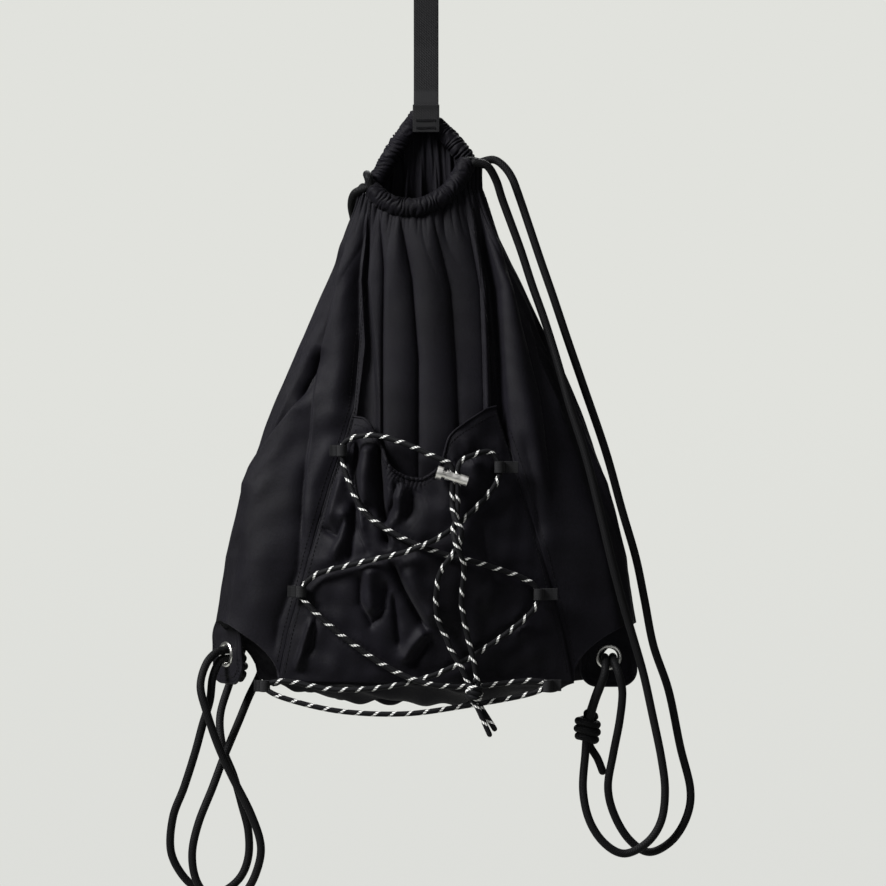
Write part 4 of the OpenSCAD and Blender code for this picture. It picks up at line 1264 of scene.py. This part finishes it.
@dataclass
class CornerTab:
    """A rounded flap of doubled nylon with its eyelet, in its own frame: x across, y into the bag, z up."""

    side: str
    place: tuple[float, float, float]
    fold: float
    width: float = 0.046
    height: float = 0.048
    thickness: float = 0.0024
    corner: float = 0.014
    tucked: float = 0.010
    hole: float = 0.014
    flange: float = 0.021
    wall: float = 0.0007
    sides: int = 160
    rings: tuple[int, int] = (26, 20)

    def placed(self, points: Array) -> Array:
        """Points turned about the upright by the fold and moved to the eyelet's place."""
        a = math.radians(-self.fold)
        turn = np.array([[math.cos(a), -math.sin(a), 0], [math.sin(a), math.cos(a), 0], [0, 0, 1]])
        return points @ turn.T + np.array(self.place)

    def outline(self, turn: Array) -> Array:
        """Distance from the eyelet to the flap's edge in each direction: a rounded box that reaches up into the bag."""
        x, z = np.cos(turn), np.sin(turn)
        half_w = self.width / 2
        end = np.where(z < 0, self.height / 2, self.height / 2 + self.tucked)
        to_side = half_w / np.maximum(np.abs(x), 1e-9)
        plain = np.minimum(to_side, end / np.maximum(np.abs(z), 1e-9))
        r = np.where(z < 0, self.corner, half_w)
        cx, cz = half_w - r, end - r
        along = np.abs(x) * cx + np.abs(z) * cz
        curve = along + np.sqrt(np.maximum(along**2 - (cx**2 + cz**2 - r**2), 0))
        on_curve = (np.abs(x) * plain > cx) & (np.abs(z) * plain > cz)
        return np.where(on_curve, np.minimum(curve, plain), plain)

    def flap(self) -> None:
        """The flap: rings from the hole to the edge in front, round the edge and back behind."""
        turn = whole_turn(self.sides)[None, :]
        reach = self.outline(turn)
        inner = self.hole / 2 + self.wall + 0.0001
        ahead, behind = self.rings
        out = np.concatenate([np.linspace(0, 1, ahead) ** 0.9, np.linspace(1, 0, behind)])[:, None]
        half = self.thickness / 2
        front = np.concatenate([np.full(ahead, -1.0), np.full(behind, 1.0)])[:, None]
        near_edge = np.clip(1 - (1 - out) * (reach - inner) / 0.0016, 0, 1)
        y = front * half * np.sqrt(np.clip(1 - near_edge**2, 0, 1))
        r = inner + (reach - inner) * out
        x, z = r * np.cos(turn), r * np.sin(turn)
        ridge = 0.0004 * np.exp(-(((1 - out) * (reach - inner) - 0.005) / 0.0012) ** 2)
        ripples = 0.0006 * ripple(x, z, 0.015, 0.04, 13) * smoothstep(r, 0.011, 0.02)
        grid = np.stack([x, y + front * -ridge + ripples, z], -1)
        piece = grid_mesh(f"corner_tab_{self.side}_cloth", self.placed(np.vstack([grid, grid[:1]])), (0.14, 0.05), True)
        self.turned_out(piece)
        settle(piece, NYLON, "nylon", f"corner_tab_{self.side}")
        for k, back in enumerate((0.003, 0.0065)):
            edge = reach - back
            path = np.stack([edge * np.cos(turn), np.full_like(edge, -half - 0.0001), edge * np.sin(turn)], -1)[0]
            path = np.vstack([path, path[:1]])
            face = np.broadcast_to([0.0, -1.0, 0.0], path.shape)
            topstitch(f"tab_{self.side}_stitches_{k}", self.placed(path), self.placed(face) - np.array(self.place),
                      0.003, 0.0022, 0.0)

    @staticmethod
    def turned_out(piece: Piece) -> None:
        """Merges doubled points and turns the faces outwards."""
        shell = bmesh.new()
        shell.from_mesh(piece.data)
        bmesh.ops.remove_doubles(shell, verts=shell.verts, dist=1e-6)
        bmesh.ops.recalc_face_normals(shell, faces=shell.faces)
        shell.to_mesh(piece.data)
        shell.free()

    def ring(self, name: str, node: str, profile: Rows, bevel: float) -> None:
        """A ring turned round the eyelet's axis, which points out of the tab's front."""
        section = rounded(profile, bevel)
        turn = whole_turn(96)[:, None]
        grid = np.stack(np.broadcast_arrays(section[:, 0] * np.cos(turn), -section[:, 1],
                                            section[:, 0] * np.sin(turn)), -1)
        grid = np.concatenate([grid, grid[:, :1]], axis=1)
        piece = grid_mesh(name, self.placed(np.vstack([grid, grid[:1]])), (0.01, 0.06))
        self.turned_out(piece)
        settle(piece, NICKEL, "eyelet_metal", node)

    def build(self) -> None:
        """The flap, the eyelet's rolled flange and barrel, and the washer behind."""
        self.flap()
        r, t, f = self.hole / 2, self.thickness / 2, self.flange / 2
        flange = [[r, -t - 0.0012], [r + self.wall, -t - 0.0012], [r + self.wall, t + 0.00005],
                  [f - 0.0004, t + 0.00005], [f, t + 0.0004], [f - 0.0008, t + 0.0013],
                  [(r + f) / 2, t + 0.0016], [r + 0.0005, t + 0.0012], [r, t + 0.0006]]
        self.ring(f"eyelet_{self.side}_rolled", f"eyelet_{self.side}", flange, 0.0005)
        inner, outer = r + self.wall + 0.00005, f - 0.0005
        washer = [[inner, -t - 0.00085], [outer, -t - 0.0006], [outer, -t - 0.00005], [inner, -t - 0.00005]]
        self.ring(f"eyelet_washer_{self.side}_pressed", f"eyelet_washer_{self.side}", washer, 0.0002)


@dataclass
class Anchor:
    """A short piece of webbing folded round the bungee, its two ends sewn into the seam."""

    name: str
    place: tuple[float, float, float]
    stem: float
    side: int
    hole: float = 0.0056
    thickness: float = 0.0014
    width: float = 0.009

    def build(self) -> None:
        """The webbing's middle line: out along the stem, round the cord and back on itself."""
        r = self.hole / 2 + self.thickness / 2
        far = self.side * (self.hole / 2 + self.stem)
        turn = np.radians(np.linspace(90, 430, 30))
        loop = np.stack([-self.side * r * np.sin(turn - np.pi / 2), r * np.cos(turn - np.pi / 2)], 1)
        out = np.array([[far, r - 0.0002]])
        back = np.array([[self.side * r * 1.25, r * 0.35], [far * 0.75, r - self.thickness], [far, r - self.thickness]])
        flat = np.vstack([out, out * [0.5, 1], loop, back])
        line = np.stack([flat[:, 0], flat[:, 1], np.zeros(len(flat))], 1) + np.array(self.place)
        line = even_line(line, 0.0004)
        piece = swept_strip(f"{self.name}_webbing", line, (0, 0, 1), self.width, self.thickness * 0.85)
        settle(piece, WEBBING, "webbing", self.name)


ANCHORS = (
    Anchor("anchor_top_left", (-0.066, -0.059, -0.370), 0.007, -1),
    Anchor("anchor_top_right", (0.058, -0.065, -0.383), 0.012, 1),
    Anchor("anchor_mid_left", (-0.098, -0.0605, -0.481), 0.008, -1),
    Anchor("anchor_mid_right", (0.089, -0.0635, -0.483), 0.012, 1),
    Anchor("anchor_low_left", (-0.127, -0.052, -0.556), 0.006, -1),
    Anchor("anchor_low_right", (0.096, -0.060, -0.555), 0.008, 1),
)


# ---- cords and knots


class FarEnd(Enum):
    """What a cord's far end is."""

    KNOT = "knot"
    OBJECT = "object"


@dataclass
class FreeCord:
    """A free cord: the node it stands for, its route's points, in millimetres, and where it ends."""

    node: str
    points: Rows
    diameter: float
    length: float
    far_end: FarEnd
    finish: Finish
    slot: str
    lay: str = "hanging"

    def line(self, step: float = 0.0015) -> Array:
        """The smooth route at even steps."""
        return even_route(np.array(self.points, float) * MM, step)

    def build(self, with_pieces: Sequence[Piece] = ()) -> Piece:
        """Args:
            with_pieces: Pieces that are on the cord, such as its knot; not used.

        Returns:
            The cord.
        """
        line = self.line()
        name = f"{self.node}_braid"
        piece = settle(cord_mesh(name, line, self.diameter), self.finish, self.slot, self.node)
        log.info("%s is %.3f m long", name, length_of(line))
        return piece


RIGHT_OUTER = (
    (44, -5, -138), (54, -5, -136), (62, -7, -141), (69, -9, -151), (75, -11, -167), (83, -13, -191), (92, -14, -218),
    (102, -15, -247), (113, -15, -280), (126, -16, -318), (144, -17, -371), (157, -18, -418), (168, -18, -456),
    (175, -18, -490), (182, -19, -526), (194, -21, -562), (203, -23, -606), (211, -25, -640), (208, -27, -662),
    (196, -28, -681), (178, -29, -690), (162, -29, -680), (150, -30, -660), (145, -31, -638), (149, -32, -612),
    (154, -35, -585), (156, -39, -562), (153, -40, -547), (149.4, -33, -537), (149.4, -22, -535), (149, -11, -537),
    (145, -6, -547), (138, -9, -562), (132, -15, -578),
)
RIGHT_INNER = (
    (39, -27, -140), (49, -26, -143), (56, -22, -154), (61, -19, -169), (68, -18, -188), (76, -18, -210),
    (85, -20, -238), (95, -25, -267), (105, -31, -300), (115, -36, -336), (127, -40, -374), (138, -43, -418),
    (147, -44, -456), (156, -42, -490), (165, -39, -520), (173, -37, -548), (180, -37, -580), (187, -37, -614),
    (190, -37, -640), (187, -37, -664), (176, -38, -681), (158, -38, -690), (142, -38, -682), (130, -37, -664),
    (125, -34, -640), (127, -29, -612), (129, -26, -592), (134, -33, -571), (139, -40, -556), (142, -41, -546),
    (142.6, -34, -537), (142.6, -22, -535), (141, -13, -538),
)
LEFT_INNER = (
    (-47, -20, -160), (-57, -17, -164), (-60, -7, -173), (-58, 4, -186), (-56, 10, -205), (-62, 14, -235),
    (-74, 16, -290), (-90, 19, -350), (-108, 22, -430), (-123, 27, -500), (-133, 28, -545), (-144, 20, -570),
    (-151, 6, -588), (-157, -5, -603), (-163, -12, -618), (-171, -16, -640), (-182, -19, -668), (-187, -20, -692),
    (-184, -20, -713), (-174, -20, -727), (-160, -20, -732), (-146, -20, -725), (-136, -21, -708), (-132, -22, -686),
    (-140, -23, -660), (-155, -24, -630), (-166, -26, -605), (-175, -28, -578), (-180, -25, -558), (-176, -17, -541),
    (-168, -9, -532), (-160, -3.4, -530.6), (-154, 1, -531.5), (-152, 8, -537),
)
LEFT_OUTER = (
    (-51, -4, -158), (-55, 3, -164), (-53, 11, -176), (-54, 17, -195), (-60, 21, -215), (-70, 23, -240),
    (-84, 24, -290), (-102, 24, -350), (-119, 26, -420), (-136, 28, -490), (-151, 29, -535), (-161, 26, -562),
    (-167, 12, -586), (-164, 2, -610), (-155, -3, -632), (-148, -5, -656), (-143, -6, -676), (-143, -6, -697),
    (-150, -6, -714), (-165, -7, -725), (-182, -7, -723), (-196, -8, -711), (-205, -10, -691), (-203, -12, -664),
    (-194, -14, -640), (-185, -16, -612), (-179, -17, -590), (-173, -18, -570), (-171, -15, -552), (-166, -8, -539.5),
    (-160, -3.4, -537.4), (-154, 1, -538.5), (-152, 7, -545),
)
LACING = (
    (20.9, -78, -390.4), (20.8, -78, -384), (17, -78, -379), (6, -77, -374.5), (-15, -73, -365), (-40, -67, -358),
    (-60, -61, -361), (-66, -59, -370), (-62, -63, -390), (-48, -71, -418), (-19, -77, -438), (12, -78, -450),
    (45, -74, -459), (78, -66, -471), (89, -63.5, -483), (80, -65, -500), (45, -67, -526), (7, -66, -546),
    (-33, -62, -556), (-73, -59, -558), (-110, -54, -552), (-127, -52, -556), (-112, -56, -565), (-68, -60, -575),
    (-17, -62, -577), (30, -61, -571), (80, -60, -562), (96, -60, -554), (80, -61, -551), (40, -65, -555),
    (3, -71, -553), (-30, -68, -540), (-65, -65, -516), (-90, -62, -494), (-98, -60.5, -481), (-85, -64, -467),
    (-53, -73, -458), (-13, -83, -448), (15, -79, -435), (40, -72, -414), (55, -67, -396), (58, -65, -382),
    (50, -66, -371), (36, -72, -374), (28, -76.5, -378), (25.2, -78, -384), (25.1, -78, -391.6),
)
TAIL_LEFT = (
    (20.9, -78, -390.4), (20.9, -78, -400), (20.9, -78, -406.5), (20.9, -78, -412.5), (22.5, -86, -422),
    (28, -89, -432), (26, -85, -443), (18, -85, -455), (12, -81, -464), (9, -79, -475), (8, -76, -491),
    (10, -74, -503), (15, -73, -514), (21, -74, -528), (27, -75, -538), (34, -75, -553),
)
TAIL_RIGHT = (
    (25.1, -78, -391.6), (25.1, -78, -400), (25.1, -78, -410), (24.5, -80, -421), (21.5, -84.5, -432),
    (24, -90, -443), (29, -87, -455), (30, -82, -463), (29, -79, -475), (28, -76, -488), (30, -75, -502),
    (33, -74, -516), (37, -75, -532), (41, -75, -553),
)
CORD_D, BUNGEE_D = 0.0065, 0.0042
DRAWCORDS = tuple(
    FreeCord(f"drawcord_{name}", points, CORD_D, length, end, DRAWCORD, "drawcord")
    for name, points, length, end in (
        ("right_outer", RIGHT_OUTER, 0.85, FarEnd.KNOT), ("right_inner", RIGHT_INNER, 0.80, FarEnd.OBJECT),
        ("left_inner", LEFT_INNER, 0.89, FarEnd.KNOT), ("left_outer", LEFT_OUTER, 0.85, FarEnd.KNOT)))
BUNGEES = tuple(
    FreeCord(f"bungee_{name}", points, BUNGEE_D, length, end, BUNGEE, "bungee", lay)
    for name, points, length, end, lay in (
        ("lacing", LACING, 1.27, FarEnd.OBJECT, "taut"), ("tail_left", TAIL_LEFT, 0.18, FarEnd.KNOT, "hanging"),
        ("tail_right", TAIL_RIGHT, 0.17, FarEnd.KNOT, "hanging")))


@dataclass
class Knot:
    """A stopper knot: turns of the cord wound round its own standing part, with its ends below."""

    name: str
    node: str
    place: tuple[float, float, float]
    cord: float
    core: float
    turns: float
    ends: Sequence[Rows]
    finish: Finish
    slot: str

    def winding(self) -> Array:
        """A helix whose radius swells in the middle, entered from above and left below through its middle."""
        t = np.linspace(0, 1, int(28 * self.turns))
        turn = 2 * np.pi * self.turns * t
        swell = self.core * (0.86 + 0.2 * np.sin(np.pi * t))
        rise = (0.5 - t) * self.cord * self.turns * 0.92
        wound = np.stack([swell * np.cos(turn), swell * np.sin(turn), rise + 0.12 * self.cord * np.sin(2 * turn)], 1)
        high = (self.turns / 2 + 0.5) * self.cord
        enter = np.array([[0.2 * self.core, -0.1 * self.core, high]])
        leave = np.array([[0.3 * self.core, 0.1 * self.core, -high]])
        return np.vstack([enter, wound, leave]) + np.array(self.place)

    def build(self) -> Piece:
        """The winding and the ends, as one piece."""
        parts = [cord_mesh(self.name, even_route(self.winding()[::3], 0.0008), self.cord)]
        for k, end in enumerate(self.ends):
            route = even_route(np.array(end) * MM + np.array(self.place), 0.001)
            parts.append(cord_mesh(f"{self.name}_{k}", route, self.cord))
        return settle(joined(self.name, parts), self.finish, self.slot, self.node)


KNOTS = {
    "right": Knot("drawcord_knot_right_turns", "drawcord_knot_right", (0.129, -0.022, -0.592), CORD_D, 0.0074, 3.0,
                  (((0, 0, 12), (0.5, 0, 0), (0, 0, -9), (3, 0, -16), (8, -1, -24), (12, -1, -34)),), DRAWCORD,
                  "drawcord"),
    "left": Knot("drawcord_knot_left_turns", "drawcord_knot_left", (-0.152, 0.015, -0.545), CORD_D, 0.0042, 2.0,
                 (((0, 0, 7), (0, 0, 0), (0.5, 0, -7)),), DRAWCORD, "drawcord"),
    "bungee": Knot("bungee_knot_turns", "bungee_knot", (0.038, -0.075, -0.559), BUNGEE_D, 0.0048, 3.4,
                   (((-3, 0, 6), (-1.5, 0, -5), (3, 0, -13), (8, -1, -24), (12, -1, -33)),
                    ((3, 0, 6), (2, 1, -5), (6, 4, -13), (11, 4, -21), (16, 4, -29))), BUNGEE, "bungee"),
}


# ---- toggle


@dataclass
class Toggle:
    """The turned cord lock, whose metal parts stay as the CAD made them, with a coiled spring."""

    travel: float = 0.0025
    tilt: float = 17.0
    place: tuple[float, float, float] = (0.023, -0.078, -0.391)
    wire: float = 0.0006
    coil: float = 0.0024
    turns: int = 4

    def build(self) -> None:
        """Puts the metal finishes on the frame's own solids, and makes the spring."""
        for node in ("toggle_barrel", "toggle_end_cap", "toggle_plunger"):
            TURNED_STEEL.dress(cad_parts[node])
        self.spring("toggle_spring")

    def spring(self, node: str) -> None:
        """The coil between plunger and end cap, along the full length of the frame's own spring.

        Args:
            node: The frame's own spring, whose ends the coil keeps.
        """
        tilt = math.radians(self.tilt)
        along = np.array([math.cos(tilt), 0.0, -math.sin(tilt)])
        up = np.array([math.sin(tilt), 0.0, math.cos(tilt)])
        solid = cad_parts[node]
        reach = np.array([(solid.matrix_world @ v.co)[:] for v in solid.data.vertices]) @ along
        start, end = reach.min() - along @ self.place, reach.max() - along @ self.place
        turn = np.linspace(0, 2 * np.pi * self.turns, 24 * self.turns + 1)[:, None]
        run = np.linspace(start + self.wire / 2, end - self.wire / 2, len(turn))[:, None]
        line = np.array(self.place) + run * along + self.coil * (np.cos(turn) * [0, 1, 0] + np.sin(turn) * up)
        piece = cord_mesh("toggle_spring_coil", line, self.wire, sides=8)
        settle(piece, SPRING_WIRE, "spring_steel", node, body="toggle")
        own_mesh(piece)


# ---- studio


@dataclass
class Studio:
    """Camera, soft lights, a pale room and a pale floor."""

    distance: float = 2.5
    eye: tuple[float, float] = (0.0136, -0.364)
    focal_mm: float = 127.0
    ambient: float = 0.1
    LAMPS = (("key", (-2.6, -1.5, 2.0), 1.3, 270), ("fill", (1.4, -2.6, 0.2), 1.6, 5),
             ("top", (-0.3, -0.7, 2.2), 1.6, 12), ("rear", (0.3, 2.4, 1.7), 1.8, 50))

    def camera(self) -> None:
        """A long lens square on to the bag."""
        data = bpy.data.cameras.new("camera")
        data.lens, data.sensor_width = self.focal_mm, 36.0
        data.clip_end = 50
        seen = linked("camera", data)
        seen.location = (self.eye[0], -0.02 - self.distance, self.eye[1])
        seen.rotation_euler = (math.pi / 2, 0, 0)
        bpy.context.scene.camera = seen

    def light(self, name: str, place: Sequence[float], size: float, power: float) -> None:
        """A square area light turned towards the middle of the bag."""
        data = bpy.data.lights.new(name, "AREA")
        data.size, data.energy = size, power
        lamp = linked(name, data)
        lamp.location = place
        aim = np.array([0, 0, -0.4]) - np.array(place)
        flat = math.hypot(aim[0], aim[1])
        lamp.rotation_euler = (math.atan2(flat, -aim[2]), 0, math.atan2(aim[1], aim[0]) - math.pi / 2)

    def floor(self) -> None:
        """A round pale floor well below the bag, whose rim fades out into the room."""
        low, radius, sides, rings = -1.15, 2.2, 96, 24
        turn, out = whole_turn(sides)[None, :], np.linspace(0, 1, rings)[:, None]
        grid = np.stack(np.broadcast_arrays(radius * out * np.cos(turn), -radius * out * np.sin(turn), low), -1)
        sheet = FLOOR_PAINT.dress(grid_mesh("floor", grid, (1.0, 1.0), True, False))

    def room(self) -> None:
        """Seen directly the room is pale paint with painted light on it, a little lighter above and darker below; it
        lights the bag only faintly.
        """
        world = bpy.data.worlds.new("room")
        world.use_nodes = True
        tree = world.node_tree
        tree.nodes.clear()
        up = add_node(tree, "SeparateXYZ", i0=add_node(tree, "TexCoord").outputs["Generated"])
        # Painted light: the wall seen by the camera is graded from darker below to lighter above.
        high = add_node(tree, "MapRange", Value=up.outputs["Z"], i1=-0.16, i2=0.02)
        paint = add_node(tree, "Mix", {"data_type": "RGBA"}, i0=high.outputs[0])
        paint.inputs["A"].default_value = linear("#dddeda")
        paint.inputs["B"].default_value = linear("#e1e2dd")
        seen = add_node(tree, "Background", Color=paint.outputs["Result"], Strength=1.0)
        unseen = add_node(tree, "Background", Color=linear("#f4f5f3"), Strength=self.ambient)
        ray = add_node(tree, "LightPath")
        mix = add_node(tree, "MixShader", i0=ray.outputs["Is Camera Ray"], i1=unseen.outputs[0],
                       i2=seen.outputs[0])
        add_node(tree, "OutputWorld", Surface=mix.outputs[0])
        bpy.context.scene.world = world

    def build(self) -> None:
        """Everything round the bag."""
        self.camera()
        self.floor()
        self.room()
        for name, place, size, power in self.LAMPS:
            self.light(name, place, size, power)
        bpy.context.scene.view_settings.view_transform = "Standard"


# ---- all together


def main() -> None:
    """Builds the studio, the cords and then every other sub-assembly."""
    logging.basicConfig(level=logging.INFO, format="%(message)s")
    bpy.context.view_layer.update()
    Studio().build()
    knots = {name: knot.build() for name, knot in KNOTS.items()}
    for cord, knot in zip(DRAWCORDS, ("right", "right", "left", "left")):
        cord.build([knots[knot]])
    for cord in BUNGEES:
        cord.build([] if cord.far_end is FarEnd.OBJECT else [knots["bungee"]])
    shape = BagShape(base_z=float(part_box("front_panel")[0].z))
    BagBody(shape, Drape(shape)).build()
    mouth = Mouth(shape)
    mouth.build()
    HangingStrap(*mouth.line(True)[mouth.MIDDLE, 1:]).build()
    Pocket(shape, BUNGEES[0].line()).build()
    CornerTab("right", (0.146, -0.022, -0.535), 0).build()
    CornerTab("left", (-0.160, -0.0034, -0.534), 55).build()
    for anchor in ANCHORS:
        anchor.build()
    Toggle().build()


if __name__ == "__main__":
    main()
